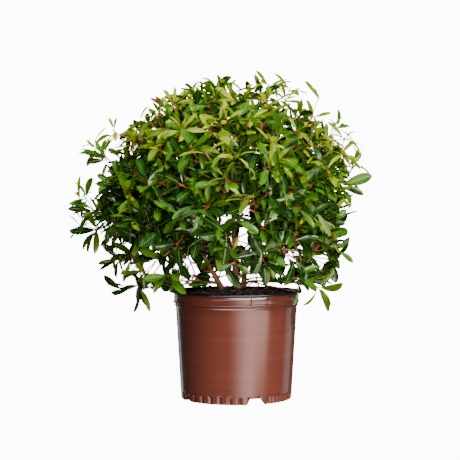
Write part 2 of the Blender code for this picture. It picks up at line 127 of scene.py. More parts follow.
# Numbers of the finishes that slivers have, the common ones twice
CHIP_FINISHES = (0, 0, 1, 1, 2, 3)
NOTCH_SHADE_TURN = radians(63)
NOTCH_SHADE_HALF_WIDTH = 0.0105
NOTCH_SHADE_LEVELS = (0.0006, 0.0122)
NOTCH_SHADE_DISTANCES = (0.083, 0.0988)
BLOCK_CORNERS = [(x, y, z) for z in (-1, 1) for x, y in ((-1, -1), (1, -1), (1, 1), (-1, 1))]
BLOCK_FACES = ((0, 3, 2, 1), (4, 5, 6, 7), (0, 1, 5, 4), (1, 2, 6, 5), (2, 3, 7, 6), (3, 0, 4, 7))

# Crown and its growth, as in the CAD source
SEAT_GAP = 0.0003
LIMB_GAP = 0.002
HEART = Vector((-0.022, 0.0, 0.362))
CROWN_RADII = Vector((0.246, 0.242, 0.250))
LIMB_REACH = 0.40
INNER_LIMIT = 0.46
FOOT_CLEAR = 0.088
SKIRT_LEVEL = 0.205
LONG_SKIRT_LEVEL = 0.160
RIM_CLEAR = 0.012
# Each ring of masses: its name, its height angle, and the name and turn of each mass, in degrees
RINGS = (
    ("upper", 50, (("front", 275), ("right", 347), ("back_right", 59), ("back_left", 131), ("left", 203))),
    ("middle", 8, (("front", 262), ("front_right", 307), ("right", 352), ("back_right", 37),
                   ("back", 82), ("back_left", 127), ("left", 172), ("front_left", 217))),
    ("lower", -32, (("front_left", 234), ("front_right", 296), ("right", 356),
                    ("back_right", 58), ("back_left", 122), ("left", 182))),
)
LOW_BOUGH_ANGLE = radians(-52)
LOW_BOUGH_REACH = 0.47
# The main, right and left stem: radius at foot and tip, the mass that it feeds, and its course above the soil
STEMS = metres((
    ((0.0066, 0.0026), "foliage_top", ((1, 0, 0), (-2, 1, 36), (-4, 3, 76), (-5, 4, 137), (-4, 2, 190))),
    ((0.0050, 0.0022), "foliage_upper_right", ((13, 14, 0), (18, 14, 36), (33, 13, 70), (45, 8, 128))),
    ((0.0050, 0.0022), "foliage_upper_left", (
        (-27, -12, 0), (-42, -17, 28), (-60, -20, 60), (-70, -14, 116))),
))
ROOT_FLARE = 0.45
FLARE_HEIGHT = 0.008
STEM_TAPER = 0.8
STEM_RINGS = 12
STEM_FINE_STEPS = 90
BOUGH_SIDES = 5
BOUGH_RINGS = 6
BOUGH_FINE_STEPS = 60
BOUGH_TIP_RADIUS = 0.0016
BOUGH_SHARE = 0.62
BOUGH_RISE = 0.55
BOUGH_LIFT = 0.75
FINE_STEPS = 400
# Across and height of the shoots that reach furthest
LONG_SHOOTS = metres((
    (-250, 460), (-272, 356), (-268, 318), (-222, 262), (-186, 214), (-133, 548), (-205, 494), (-72, 568),
    (52, 572), (94, 566), (140, 528), (172, 492), (198, 462), (210, 418), (176, 262), (152, 212),
))
LONG_SHOOT_DEPTH = 0.045
SHOOT_SEED = 11
OUTER_SHELL = (0.74, 0.86)
INNER_SHELL = (0.54, 0.72)
CANDIDATES = 10
SPACE_MARGIN = 0.007
INTERNODE = 0.055
STEM_END_SHARE = 0.56
TURN_COST = 2.2

# What is finer here than in the CAD source
# Widening of a limb's foot, as a share and the length over which it fades. Stems go on down into the soil.
BARK_FLARE = (0.55, 0.010)
BOUGH_SWELL = (0.45, 0.008)
STEM_SINK = 0.008
SUNK_FLARE = 1.3
STEM_SIDES = 18
BARK_SIDES = 12
# Furrows up the limb and lumps on its bark: scale of each pattern, and its depth as a share of the radius
BARK_FURROWS = (700, 0.10)
BARK_LUMPS = (260, 0.07)
FURROW_STRETCH = 0.28
SHOOT_COUNT = 640
SHARED_SHOOTS = 148
FILL_REACH = 0.80
CROWN_EDGE = 1.02
LONG_SHOOT_LEAF = 0.20
EDGE_SPRAY_REACH = 1.12
FINE_SKIRT = 0.207
OPEN_BELOW = 0.262
AIRY_ABOVE = 0.50
DROOP_BELOW = 0.27
TWIG_RADIUS = 0.0013
TWIG_SIDES = 6
TWIG_STEPS = 5
TWIG_KNOT = 1.22
YOUNG_TWIG_SHARE = 0.62
MASS_STEM_TIP = 0.0014
SPUR_LENGTH = (0.020, 0.040)
# How many leaves and spurs each kind of rosette has
LONG_ROSETTE = 7
ROSETTES = (5, 5, 6)
SPUR_ROSETTES = (4, 5, 5)
LOW_ROSETTES = (3, 4, 5)
NODE_LEAVES = 5
LOW_NODE_LEAVES = 2
LEAST_ROSETTE = 3
FINE_TWIG = (TWIG_RADIUS, TWIG_RADIUS * 0.8)
LOW_TWIG = (0.0019, 0.0011)
# The part of a stem's fine line that low twigs may leave
LOW_STEM = slice(3, 36)
STALK_LENGTH = 0.005
SAME_PLACE = 0.001
STALK_RADIUS = 0.0006
STALK_TAPER = (1.5, 1.0, 0.9, 0.4)
RIB_RADIUS = 0.00045
RIB_TAPER = 0.1
# A bud's radius by the distance from its foot
BUD = {0: 0.0012, 0.0025: 0.0013, 0.0055: 0.0009, 0.009: 0.0002}

# Leaves: their length low and high in the crown, and their outline, as length along against breadth
LEAF_LENGTH_LOW = (0.042, 0.058)
LEAF_LENGTH_HIGH = (0.032, 0.046)
LEAF_WIDTH = 0.33
WHORL_LEAF_WIDTH = 0.36
LONE_LEAF_WIDTH = 0.27
LEAF_STATIONS = (
    (0.00, 0.05), (0.09, 0.24), (0.22, 0.56), (0.38, 0.85), (0.55, 1.00), (0.72, 0.98), (0.86, 0.74),
    (0.95, 0.40), (1.00, 0.06),
)
# A leaf's section from edge to edge, as breadth against lift
LEAF_SECTION = ((-1, 0.86), (-0.5, 0.5), (0, 0), (0.5, 0.5), (1, 0.86))
LEAF_FOLD = radians(26)
BREADTH_RANGE = (0.85, 1.12)
FOLD_RANGE = (0.4, 1.5)
LEAF_CURL = (0.1, 0.75)
LEAF_SHRINKS = (1.0, 0.85, 0.7)
# How much a leaf faces along its twig and up to the sky, and how far that strays
LEAF_FACING = (0.55, 0.65, 0.42)
LEAF_DROOP = 0.3
SHORTER_ABOVE = 0.26
SHORTENING_SPAN = 0.26
# Lean in degrees of a rosette's upright and spreading leaves, and how far the leaves stray from even turns
UPRIGHT_LEAN = (30, 54)
SPREAD_LEAN = (52, 80)
TURN_WOBBLE = 0.25
# How much further the leaves lean at a node than at a twig's end, in radians
NODE_LEAN = 0.2
# A leaf's youth and light by its height and reach in the crown, and how far that strays: paler towards the
# top and outside and darker below and within, partly from age and partly as painted light and shade
YOUTH_AND_LIGHT_BY_HEIGHT = 0.80
YOUTH_AND_LIGHT_FLOOR = -0.25
YOUTH_AND_LIGHT_SHIFT = 0.10
YOUTH_AND_LIGHT_BY_REACH = 1.6
YOUTH_AND_LIGHT_REACH = 0.86
YOUTH_AND_LIGHT_SPREAD = 0.54
# The least youth and light of each tone but the darkest, and each tone's breadth: young leaves are narrower
TONE_LIMITS = (("lime", 0.66), ("fresh", 0.34), ("mid", -0.06))
TONE_BREADTH = {"deep": 1.0, "mid": 1.0, "fresh": 0.84, "lime": 0.70, "bronze": 0.8}

# Places read off the photograph, across and height first, on the upright plane through the pot's axis.
# Where it shows bare stem: both ends of each stretch and its half width
EYE = Vector((0.0, -2.55, 0.381))
STEM_BARED = 0.8
BARE_STEMS = metres((
    ((-4, 196), (-4, 326), 9), ((-27, 196), (-60, 256), 9), ((-60, 256), (-70, 300), 9),
))
# Where it shows more sky through the crown: the spot, its radius, and the share of leaves kept
THIN_SPOTS = metres((
    (-183, 550, 53, 0.30), (106, 526, 26, 0.20), (0, 585, 20, 0.30), (160, 543, 30, 0.50),
    (-202, 466, 24, 0.20), (155, 466, 18, 0.10), (212, 333, 34, 0.25), (207, 284, 27, 0.45),
    (-232, 268, 36, 0.40), (-158, 256, 36, 0.15), (-98, 256, 24, 0.25), (103, 266, 24, 0.10),
    (155, 276, 30, 0.20), (55, 280, 20, 0.40), (8, 315, 30, 0.35), (30, 555, 20, 0.25),
    (-258, 392, 24, 0.50), (232, 396, 30, 0.60), (0, 600, 30, 0.35), (-236, 440, 20, 0.35),
    (-240, 308, 26, 0.35), (-192, 290, 22, 0.45), (200, 362, 22, 0.45), (150, 252, 20, 0.35),
    (192, 250, 22, 0.40),
))
# Where it shows a clear gap among the low leaves: the spot and its radius
GAP_EDGE = 0.003
GAPS = metres((
    (23, 358, 6), (-23, 337, 8), (55, 331, 5), (11, 299, 8), (26, 284, 7), (68, 273, 4), (-79, 242, 6),
    (93, 240, 4), (123, 288, 6), (-160, 250, 9), (-205, 285, 8), (20, 240, 7), (-30, 226, 9), (155, 262, 8),
    (-88, 220, 4), (36, 224, 9), (-60, 262, 4),
))

# Ends of further sprays that fill the crown's left edge, and of the low ones between the stems, as places
EDGE_SPRAYS = metres(((-262, 10, 338), (-268, 0, 326), (-243, -30, 352)))
LOW_SPRAYS = metres((
    (-88, -30, 262), (-60, -55, 246), (-98, -58, 226), (-36, -50, 268), (26, -45, 262), (50, -52, 243),
    (84, -36, 250), (70, -50, 226), (-75, 50, 250), (-30, 66, 262), (34, 62, 256), (82, 46, 262),
    (-116, -10, 238), (110, -14, 232), (-52, -30, 224), (30, -62, 222), (-150, -30, 226), (-128, -40, 220),
    (-118, -75, 228), (118, -60, 226), (142, -10, 226), (96, -75, 224), (116, -75, 214), (-14, -40, 240),
))
# Shoot, tip and tone of the single leaves that stand out from the others
LONE_LEAVES = metres((
    ((-186, 0, 214), (-160, -20, 168), "fresh"), ((152, 0, 212), (181, -20, 164), "mid"),
    ((116, 0, 214), (107, -85, 181), "mid"), ((-133, 0, 548), (-160, -12, 570), "bronze"),
    ((-272, 0, 356), (-320, -5, 361), "deep"), ((-268, 0, 318), (-312, -5, 317), "deep"),
    ((-222, 0, 262), (-262, -10, 256), "mid"),
))
# Whorls that stand out before the stems and at the crown's edges: where each twig ends, then the tip and tone
# of each leaf, as across, height and depth
FRONT_WHORLS = metres((
    ((49, 275, -180), (
        ((24, 320, -192), "mid"), ((91, 314, -188), "mid"), ((3, 267, -198), "deep"),
        ((94, 254, -198), "mid"), ((34, 233, -190), "deep"), ((75, 282, -190), "deep"))),
    ((-9, 277, -205), (((-41, 312, -215), "mid"), ((6, 303, -212), "lime"))),
    ((-4, 257, -200), (((-35, 240, -206), "deep"), ((26, 237, -206), "mid"))),
    ((-2, 337, -205), (((43, 316, -215), "mid"),)),
))
EDGE_WHORLS = metres((
    ((197, 402, -20), (
        ((258, 423, -30), "mid"), ((243, 389, -30), "deep"), ((220, 371, -40), "mid"),
        ((210, 438, -30), "fresh"))),
    ((191, 280, -20), (((224, 259, -30), "mid"), ((216, 303, -30), "deep"), ((172, 299, -40), "mid"))),
    ((171, 333, -60), (((210, 356, -70), "mid"), ((207, 332, -70), "deep"), ((199, 313, -75), "mid"))),
    ((210, 438, -20), (((239, 465, -25), "mid"),)),
    ((-246, 451, -5), (
        ((-284, 449, -10), "deep"), ((-253, 423, -15), "fresh"), ((-265, 484, -10), "mid"),
        ((-291, 472, -5), "fresh"))),
    ((-225, 396, -20), (((-267, 410, -25), "mid"), ((-261, 375, -30), "deep"), ((-233, 430, -30), "mid"))),
))

# Studio: brightness and radius of floor and dome, the dome's grid, strength of the surroundings, tint of the
# lamps, and each lamp's name, place, target, size, watts and kind. A softbox lights and shows as a sheen, a
# scrim only lights, and a sheen strip only shows.
WHITE = 12.0
STUDIO_RADIUS = 9
DOME_GRID = (13, 48)
SURROUND = 0.08
LAMP_TINT = (0.94, 0.96, 1.0)
LAMPS = (
    ("right_edge_strip", (1.85, 1.1, -0.30), (0, 0, 0.1), (0.9, 0.8), 2, "softbox"),
    ("left_edge_strip", (-1.25, 1.85, -0.1), (0, 0, 0.1), (0.35, 1.4), 2.5, "softbox"),
    ("key_scrim", (0.7, -1.7, 1.7), (0, 0, 0.35), (0.5, 0.5), 76, "scrim"),
    ("key_sheen_strip", (0.7, -1.7, 1.7), (0, 0, 0.35), (0.45, 0.45), 30, "sheen strip"),
    ("low_sheen_strip", (0.9, -2.1, 0.82), (0, 0, 0.2), (3.4, 0.30), 145, "sheen strip"),
    ("floor_sheen_strip", (0.0, -1.5, -1.45), (0, 0, 0.2), (3.4, 0.60), 80, "sheen strip"),
    ("front_scrim", (0.95, -2.4, -0.1), (0, 0, 0.2), (2.6, 1.6), 108, "scrim"),
    ("top_scrim", (-0.2, -0.5, 2.2), (0, 0, 0.4), (0.9, 0.9), 64, "scrim"),
)

# Front card, which only shows as the sheen down the pot: its distance and top, its tint and peak strength,
# where in x it dies out and where it is full, and its lower edge as azimuth right of the front against height
CARD_DISTANCE = 2.3
CARD_TOP = 0.30
CARD_TINT = (1, 0.82, 0.75, 1)
CARD_STRENGTH = 7.4
CARD_FADE = (-0.50, 1.00)
CARD_FOOT = ((-30, -0.95), (33, -0.95), (34, -0.57), (40, -0.52), (54, -0.43), (60, -0.37), (65, -0.10))

# Camera: tilt below level, sensor width in mm, then focal length and shift in pixels of the photograph
CAMERA_TILT = radians(1.4)
SENSOR_WIDTH = 36
PHOTO_WIDTH = 460
FOCAL_PIXELS = 1342
SHIFT_PIXELS = -6.3

# Where a Mix node has its two colours and gives their mix
MIX_DARK, MIX_LIGHT, MIX_RESULT = 6, 7, 2
PLASTIC_IOR = 1.49
SKIN_IOR = 1.45


def colour(code):
    """Linear colour, with alpha 1, of an sRGB hex value."""
    parts = [int(code[k:k + 2], 16) / 255 for k in (0, 2, 4)]
    return tuple(p / 12.92 if p <= 0.04045 else ((p + 0.055) / 1.055) ** 2.4 for p in parts) + (1.0,)


def add_node(tree, kind, settings=None, links=None):
    """One node with its settings and its links, each from a socket or from the first output of a node."""
    made = tree.nodes.new("ShaderNode" + kind)
    for key, value in (settings or {}).items():
        if isinstance(key, int) or key in made.inputs:
            made.inputs[key].default_value = value
        else:
            setattr(made, key, value)
    for key, source in (links or {}).items():
        tree.links.new(getattr(source, "outputs", [source])[0], made.inputs[key])
    return made


def make_material(name, surface, *looks):
    """A material whose surface is made by one of the functions below, from the object's own coordinates."""
    made = bpy.data.materials.new(name)
    made.use_nodes = True
    tree = made.node_tree
    tree.nodes.clear()
    place = add_node(tree, "TexCoord").outputs["Object"]
    add_node(tree, "OutputMaterial", links={"Surface": surface(tree, place, *looks)})
    return made


def mottle(tree, pattern, low, high, dark_code, code):
    """A colour that goes from the dark to the light code over this span of a pattern."""
    share = add_node(tree, "MapRange", {"From Min": low, "From Max": high}, {"Value": pattern})
    tones = {"data_type": "RGBA", MIX_DARK: colour(dark_code), MIX_LIGHT: colour(code)}
    return add_node(tree, "Mix", tones, {"Factor": share}).outputs[MIX_RESULT]


def pot_plastic(tree, place, code, dark_code, roughness):
    """Injection-moulded polypropylene: a satin skin with the faint rings that the flowing melt left."""
    # Rings 10 mm high and 250 mm long, which change tone and gloss a little
    run = add_node(tree, "Mapping", {"Scale": (1000 / 250, 1000 / 250, 1000 / 10)}, {"Vector": place})
    rings = add_node(tree, "TexNoise", {"Scale": 1.0, "Detail": 3.0}, {"Vector": run})
    gloss = {"From Min": 0.3, "From Max": 0.75, "To Min": roughness - 0.02, "To Max": roughness + 0.02}
    # Moulded grain of 1.1 mm
    grain = add_node(tree, "TexNoise", {"Scale": 1000 / 1.111, "Detail": 2.0}, {"Vector": place})
    return add_node(tree, "BsdfPrincipled", {"IOR": PLASTIC_IOR}, {
        "Base Color": mottle(tree, rings, 0.35, 0.7, dark_code, code),
        "Roughness": add_node(tree, "MapRange", gloss, {"Value": rings}),
        "Normal": add_node(tree, "Bump", {"Strength": 0.05, "Distance": 0.0004}, {"Height": grain})})


def grained(tree, place, code, dark_code, roughness, grain_mm, depth, stretch=(1.0, 1.0, 1.0)):
    """A skin that grew or was torn: dull, with two tones and a low relief that follow one grain."""
    run = add_node(tree, "Mapping", {"Scale": stretch}, {"Vector": place})
    size = {"Scale": 1000 / grain_mm, "Detail": 6.0, "Roughness": 0.65}
    grain = add_node(tree, "TexNoise", size, {"Vector": run})
    return add_node(tree, "BsdfPrincipled", {"IOR": SKIN_IOR, "Roughness": roughness}, {
        "Base Color": mottle(tree, grain, 0.36, 0.64, dark_code, code),
        "Normal": add_node(tree, "Bump", {"Strength": 0.6, "Distance": depth}, {"Height": grain})})


def leaf_blade(tree, place, code, dark_code, glow_code, roughness, glow):
    """A waxy evergreen leaf: a glossy skin with a slightly green sheen over flesh that lets light through."""
    # Tone drifts from leaf to leaf over about 30 mm
    drift = add_node(tree, "TexNoise", {"Scale": 1000 / 29.41, "Detail": 2.0}, {"Vector": place})
    wax = {"IOR": SKIN_IOR, "Roughness": roughness, "Specular Tint": colour("F0FFCE")}
    tone = mottle(tree, drift, 0.35, 0.65, dark_code, code)
    skin = add_node(tree, "BsdfPrincipled", wax, {"Base Color": tone})
    flesh = add_node(tree, "BsdfTranslucent", {"Color": colour(glow_code)})
    return add_node(tree, "MixShader", {"Fac": glow}, {1: skin, 2: flesh})


def studio_white(tree, place):
    """Studio white, so bright that it shows as blank paper."""
    return add_node(tree, "Emission", {"Color": (1, 1, 1, 1), "Strength": WHITE})


def faded_card(tree, place):
    """A lit card whose brightness dies out leftwards."""
    across = add_node(tree, "SeparateXYZ", links={"Vector": place})
    low, high = CARD_FADE
    span = {"interpolation_type": "SMOOTHSTEP", "From Min": low, "From Max": high, "To Max": CARD_STRENGTH}
    fade = add_node(tree, "MapRange", span, {"Value": across})
    return add_node(tree, "Emission", {"Color": CARD_TINT}, {"Strength": fade})


class Pieces:
    """Points and faces gathered into one mesh, each face with the number of its material."""

    def __init__(self):
        self.points = []
        self.faces = []
        self.finishes = []

    def add(self, points, faces, finish=0):
        first = len(self.points)
        self.points += points
        self.faces += [tuple(first + corner for corner in face) for face in faces]
        self.finishes += [finish] * len(faces)

    def build(self, name, materials, smooth_angle=None):
        mesh = bpy.data.meshes.new(name)
        mesh.from_pydata(self.points, [], self.faces)
        for material in materials:
            mesh.materials.append(material)
        mesh.polygons.foreach_set("material_index", self.finishes)
        if smooth_angle is not None:
            mesh.shade_smooth()
            mesh.set_sharp_from_angle(angle=radians(smooth_angle))
        made = bpy.data.objects.new(name, mesh)
        bpy.context.scene.collection.objects.link(made)
        return made


def around(distance, angle, level=0):
    """The place at this distance, angle and level round the pot's axis."""
    return Vector((distance * cos(angle), distance * sin(angle), level))


def grid_faces(rows, columns, closed=True):
    """Faces of a sheet of points in rows, which closes on itself if it goes round."""
    faces = []
    for row in range(rows - 1):
        low, high = row * columns, (row + 1) * columns
        for step in range(columns if closed else columns - 1):
            following = (step + 1) % columns
            faces.append((low + step, low + following, high + following, high + step))
    return faces


def fan_faces(columns, under, under_row, over, over_row):
    """Triangles from a middle point under one row, and from a middle point over another, by turns."""
    faces = []
    for step in range(columns):
        following = (step + 1) % columns
        faces.append((under, under_row + following, under_row + step))
        faces.append((over, over_row + step, over_row + following))
    return faces


def front_turn(angle):
    """An angle round the pot measured from its front, from -pi to pi, positive to the right."""
    return (angle + pi / 2 + pi) % tau - pi


def moulding(turn, height):
    """How far the pot's wall departs from a plain turned one: foot flutes, collar ticks and a dent."""
    change = 0.0
    if height < FLUTE_TOP:
        pitch = FLUTE_PITCH if turn < CLOSE_FLUTES_TURN else FLUTE_PITCH / 2
        off = (turn - FLUTE_PHASE + pitch / 2) % pitch - pitch / 2
        fade = min(1, (FLUTE_TOP - height) / FLUTE_TOP_FADE) * min(1, height / FLUTE_FOOT_FADE)
        change -= FLUTE_DEPTH * fade * exp(-(off / FLUTE_WIDTH) ** 2) * pitch / FLUTE_PITCH
    if COLLAR_FOOT - 0.001 < height < POT_HEIGHT - RIM_DEPTH:
        change -= TICK_DEPTH * sum(abs(turn - tick) < TICK_HALF_WIDTH for tick in TICK_TURNS)
    dent = ((turn - DENT_TURN) / DENT_SPREAD[0]) ** 2 + ((height - DENT_LEVEL) / DENT_SPREAD[1]) ** 2
    return change - DENT_DEPTH * exp(-dent)


def wall_at(height):
    """Radius and height of the plain tapered wall at a height."""
    return BASE_RADIUS + (BODY_TOP_RADIUS - BASE_RADIUS) * height / COLLAR_FOOT, height


def outer_profile():
    """Radius and height from the pot's underside up to its lip, with close steps where the flutes are."""
    fluted = [wall_at(0.0025 + step * 0.0012) for step in range(15)]
    plain = [wall_at(0.0195 + step * 0.00465) for step in range(1, 34)]
    return [*FOOT_PROFILE, *fluted, *plain, *COLLAR_PROFILE]


def make_pot():
    """The pot's skin from the middle of its underside up the outside, over the rolled lip and down inside."""
    body = outer_profile()
    profile = [*body, *LIP_PROFILE, *INNER_PROFILE]
    pieces = Pieces()
    for radius, height in profile:
        outside = height > 0.0005 and radius > BASE_RADIUS - 0.001 and (radius, height) in body
        for step in range(POT_COLUMNS):
            angle = tau * step / POT_COLUMNS
            here = radius + (moulding(front_turn(angle), height) if outside else 0)
            pieces.points.append(around(here, angle, height))
    under = len(pieces.points)
    pieces.points += [UP * UNDERSIDE_LEVEL, UP * FLOOR_LEVEL]
    pieces.faces = grid_faces(len(profile), POT_COLUMNS)
    pieces.finishes = [int(number >= (len(body) - 1) * POT_COLUMNS) for number in range(len(pieces.faces))]
    pieces.faces += fan_faces(POT_COLUMNS, under, 0, under + 1, under - POT_COLUMNS)
    pieces.finishes += [0, 1] * POT_COLUMNS
    pot = pieces.build("nursery_pot", [
        make_material("bronze polypropylene of the nursery pot", pot_plastic, "683326", "602E22", 0.20),
        make_material("black polypropylene of the pot's rolled lip", pot_plastic, "1B1A26", "12111A", 0.24),
    ], 35)
    cut_notches(pot)
    return pot


def cut_notches(pot):
    """Cuts the drain notches through the pot's foot."""
    cutters = [drain_wedge(radians(degrees), width) for degrees, width in DRAIN_NOTCHES]
    for cutter in cutters:
        cut = pot.modifiers.new("drain notch", "BOOLEAN")
        cut.operation = "DIFFERENCE"
        cut.object = cutter
        cut.solver = "EXACT"
    depsgraph = bpy.context.evaluated_depsgraph_get()
    pot.data = bpy.data.meshes.new_from_object(pot.evaluated_get(depsgraph))
    pot.modifiers.clear()
    for cutter in cutters:
        bpy.data.objects.remove(cutter, do_unlink=True)


def drain_wedge(turn, notch_width):
    """The room of one drain notch, whose sides flare out towards the ground."""
    outward = Vector((sin(turn), -cos(turn), 0))
    along = Vector((-outward.y, outward.x, 0))
    outline = [(-flare, level) for level, flare in DRAIN_LEVELS]
    outline += [(flare, level) for level, flare in DRAIN_LEVELS[::-1]]
    points = []
    for distance in (BASE_RADIUS - 0.016, BASE_RADIUS + 0.012):
        for flare, level in outline:
            points.append(outward * distance + along * (flare * notch_width / 2) + UP * level)
    count = len(outline)
    pieces = Pieces()
    sides = [face[::-1] for face in grid_faces(2, count)]
    pieces.add(points, [tuple(range(count)), tuple(range(count, 2 * count))[::-1], *sides])
    return pieces.build("drain_wedge", [])


def soil_level(across):
    """Height of the mounded compost at a distance from the pot's axis."""
    if across < SOIL_FLAT_RADIUS:
        return SOIL_TOP
    share = (across - SOIL_FLAT_RADIUS) / (SOIL_RADIUS - SOIL_FLAT_RADIUS)
    return SOIL_TOP + (SOIL_EDGE - SOIL_TOP) * share ** 1.3


def bark_chip(rng):
    """Corners of one skewed sliver of bark that lies on the mound."""
    across = (SOIL_RADIUS - CHIP_MARGIN) * sqrt(rng.random())
    angle = rng.uniform(0, tau)
    place = around(across, angle, soil_level(across) + rng.uniform(*CHIP_LIFT))
    turn, tilt = rng.uniform(0, tau), rng.uniform(-CHIP_TILT, CHIP_TILT)
    along = Vector((cos(turn) * cos(tilt), sin(turn) * cos(tilt), sin(tilt)))
    side = along.cross(UP).normalized()
    over = side.cross(along)
    long, wide, thick = [rng.uniform(*span) for span in CHIP_HALF_SIZES]
    corners = []
    for x, y, z in BLOCK_CORNERS:
        skew = [rng.uniform(*CHIP_SKEW) for _ in range(3)]
        corner = place + along * (x * long * skew[0]) + side * (y * wide * skew[1])
        corners.append(corner + over * (z * thick * skew[2]))
    return corners


def mound():
    """Points and faces of the lumpy mound of compost."""
    points = []
    for ring in range(SOIL_RINGS):
        across = SOIL_INNER_RADIUS + (SOIL_RADIUS - SOIL_INNER_RADIUS) * ring / (SOIL_RINGS - 1)
        for step in range(SOIL_COLUMNS):
            place = around(across, tau * step / SOIL_COLUMNS)
            lump = sum(noise.noise(place * scale) * height for scale, height in SOIL_LUMPS.items())
            points.append(place + UP * (soil_level(across) - SOIL_SETTLE + lump))
    edge = len(points)
    points += [Vector((p.x, p.y, 0)) * 0.985 + UP * SOIL_FOOT for p in points[-SOIL_COLUMNS:]]
    points += [UP * SOIL_TOP, UP * SOIL_FOOT]
    faces = [face[::-1] for face in grid_faces(SOIL_RINGS + 1, SOIL_COLUMNS)]
    faces += fan_faces(SOIL_COLUMNS, len(points) - 1, edge, len(points) - 2, 0)
    return points, faces


def notch_shade_block():
    """Corners of the dark block of peat behind the left drain notch, painted shade under the pot's raised
    base.
    """
    outward = crown_way(-pi / 2 - NOTCH_SHADE_TURN, 0)
    along = outward.cross(UP) * NOTCH_SHADE_HALF_WIDTH
    near, far = NOTCH_SHADE_DISTANCES
    corners = ((near, -1), (near, 1), (far, 1), (far, -1))
    return [outward * distance + along * way + UP * level
            for level in NOTCH_SHADE_LEVELS for distance, way in corners]


def make_compost():
    """The mound with slivers of shredded bark lying on it, and the dark block behind the notch, which is
    painted shade.
    """
    pieces = Pieces()
    pieces.add(*mound())
    rng = random.Random(CHIP_SEED)
    for _ in range(CHIP_COUNT):
        pieces.add(bark_chip(rng), BLOCK_FACES, rng.choice(CHIP_FINISHES))
    # Painted shade: a dark block of peat behind the left drain notch
    pieces.add(notch_shade_block(), BLOCK_FACES)
    # Peat looks nearly black when moist, and the slivers keep the reddish browns of torn pine bark
    finishes = (
        ("moist peat of the compost", "2A1E17", "120C09", 0.95, 2.381, 0.0010),
        ("shredded pine bark, dark inside", "4A2E20", "24160F", 0.90, 3.333, 0.0006),
        ("shredded pine bark, fresh brown", "7A4C34", "462A1C", 0.88, 3.333, 0.0006),
        ("shredded pine bark, pinkish outer skin", "A07C6C", "6B4A3E", 0.85, 3.333, 0.0006),
    )
    materials = [make_material(name, grained, *looks) for name, *looks in finishes]
    return pieces.build("bark_compost", materials, 40)


def smooth_curve(guides, count):
    """Evenly placed points on a curve that passes through the guide points."""
    ends = [guides[0] * 2 - guides[1], *guides, guides[-1] * 2 - guides[-2]]
    dense = []
    for a, b, c, d in zip(ends, ends[1:], ends[2:], ends[3:]):
        for step in range(24):
            t = step / 24
            dense.append(0.5 * ((2 * b) + (c - a) * t + (2 * a - 5 * b + 4 * c - d) * t * t
                                + (3 * b - a - 3 * c + d) * t ** 3))
    dense.append(guides[-1])
    return spaced(dense, count)


def spaced(dense, count):
    """Count points at even distances along a line of many points."""
    run = [0.0]
    for a, b in zip(dense, dense[1:]):
        run.append(run[-1] + (b - a).length)
    found, place = [], 0
    for step in range(count):
        goal = run[-1] * step / (count - 1)
        while place < len(run) - 2 and run[place + 1] < goal:
            place += 1
        share = (goal - run[place]) / (run[place + 1] - run[place])
        found.append(dense[place].lerp(dense[place + 1], min(1, share)))
    return found


def bend_points(start, start_way, end, end_way, count):
    """Points of one arc that leaves start and arrives at end in the ways given."""
    pull = (end - start).length * 0.38
    a, b, c, d = start, start + start_way * pull, end - end_way * pull, end
    found = []
    for step in range(count):
        t = step / (count - 1)
        u = 1 - t
        found.append(a * u ** 3 + b * (3 * u * u * t) + c * (3 * u * t * t) + d * t ** 3)
    return found


def tube(points, radii, sides, relief=None):
    """Points and faces of a closed limb. Its rings turn as little as they can, and relief moves its skin."""
    ways = [(b - a).normalized() for a, b in zip(points, points[1:])]
    ways = [ways[0], *[(a + b).normalized() for a, b in zip(ways, ways[1:])], ways[-1]]
    across = ways[0].orthogonal().normalized()
    corners = []
    for point, way, radius in zip(points, ways, radii):
        across = (across - way * across.dot(way)).normalized()
        other = way.cross(across)
        for step in range(sides):
            angle = tau * step / sides
            out = across * cos(angle) + other * sin(angle)
            corners.append(point + out * (radius + (relief(point + out * radius, radius) if relief else 0)))
    faces = [tuple(range(sides))[::-1], *grid_faces(len(points), sides)]
    faces.append(tuple(range(len(corners) - sides, len(corners))))
    return corners, faces


def crown_way(turn, height):
    """Unit direction from the crown's heart, from a turn and a height angle in radians."""
    return Vector((cos(height) * cos(turn), cos(height) * sin(turn), sin(height)))


def crown_place(way, share):
    """The place at a share of the crown's reach in one direction."""
    scale = Vector(w / r for w, r in zip(way, CROWN_RADII)).length
    return HEART + way * (share / scale)


def crown_share(place):
    """How far out a place lies: 0 at the heart, 1 at the crown's skin."""
    return Vector((p - h) / r for p, h, r in zip(place, HEART, CROWN_RADII)).length


class Mass:
    """One mass of foliage: the part of the crown that lies nearest to its own direction."""

    def __init__(self, name, turn, height):
        self.name = name
        self.way = crown_way(radians(turn), radians(height))
        self.walls = []
        self.bough = None
        low = height < 0
        bough_way = crown_way(radians(turn), LOW_BOUGH_ANGLE) if low else self.way
        self.entry = crown_place(bough_way, LOW_BOUGH_REACH if low else LIMB_REACH)
        self.entry_way = (bough_way + self.way + Vector((0, 0, 0.35))).normalized()

    def find_walls(self, masses):
        """Normals of the planes through the heart that part this mass from the others."""
        self.walls = [(self.way - other.way).normalized() for other in masses if other is not self]

    def room(self, place):
        """How deep a place lies inside this mass's own space. Below zero it's outside."""
        return min((place - HEART).dot(wall) for wall in self.walls)


def make_masses():
    masses = [Mass("foliage_top", 0, 90)]
    for ring, height, places in RINGS:
        masses += [Mass(f"foliage_{ring}_{side}", turn, height) for side, turn in places]
    for mass in masses:
        mass.find_walls(masses)
    return masses


def clear_of_limbs_and_pot(place, skirt):
    """Foliage keeps above its skirt and out of the room that the limbs, the soil and the rim take up."""
    across = hypot(place.x, place.y)
    if crown_share(place) < INNER_LIMIT or place.z < skirt:
        return False
    if place.z < HEART.z and across < FOOT_CLEAR:
        return False
    return place.z > POT_HEIGHT + RIM_CLEAR or across > RIM_RADIUS + RIM_CLEAR


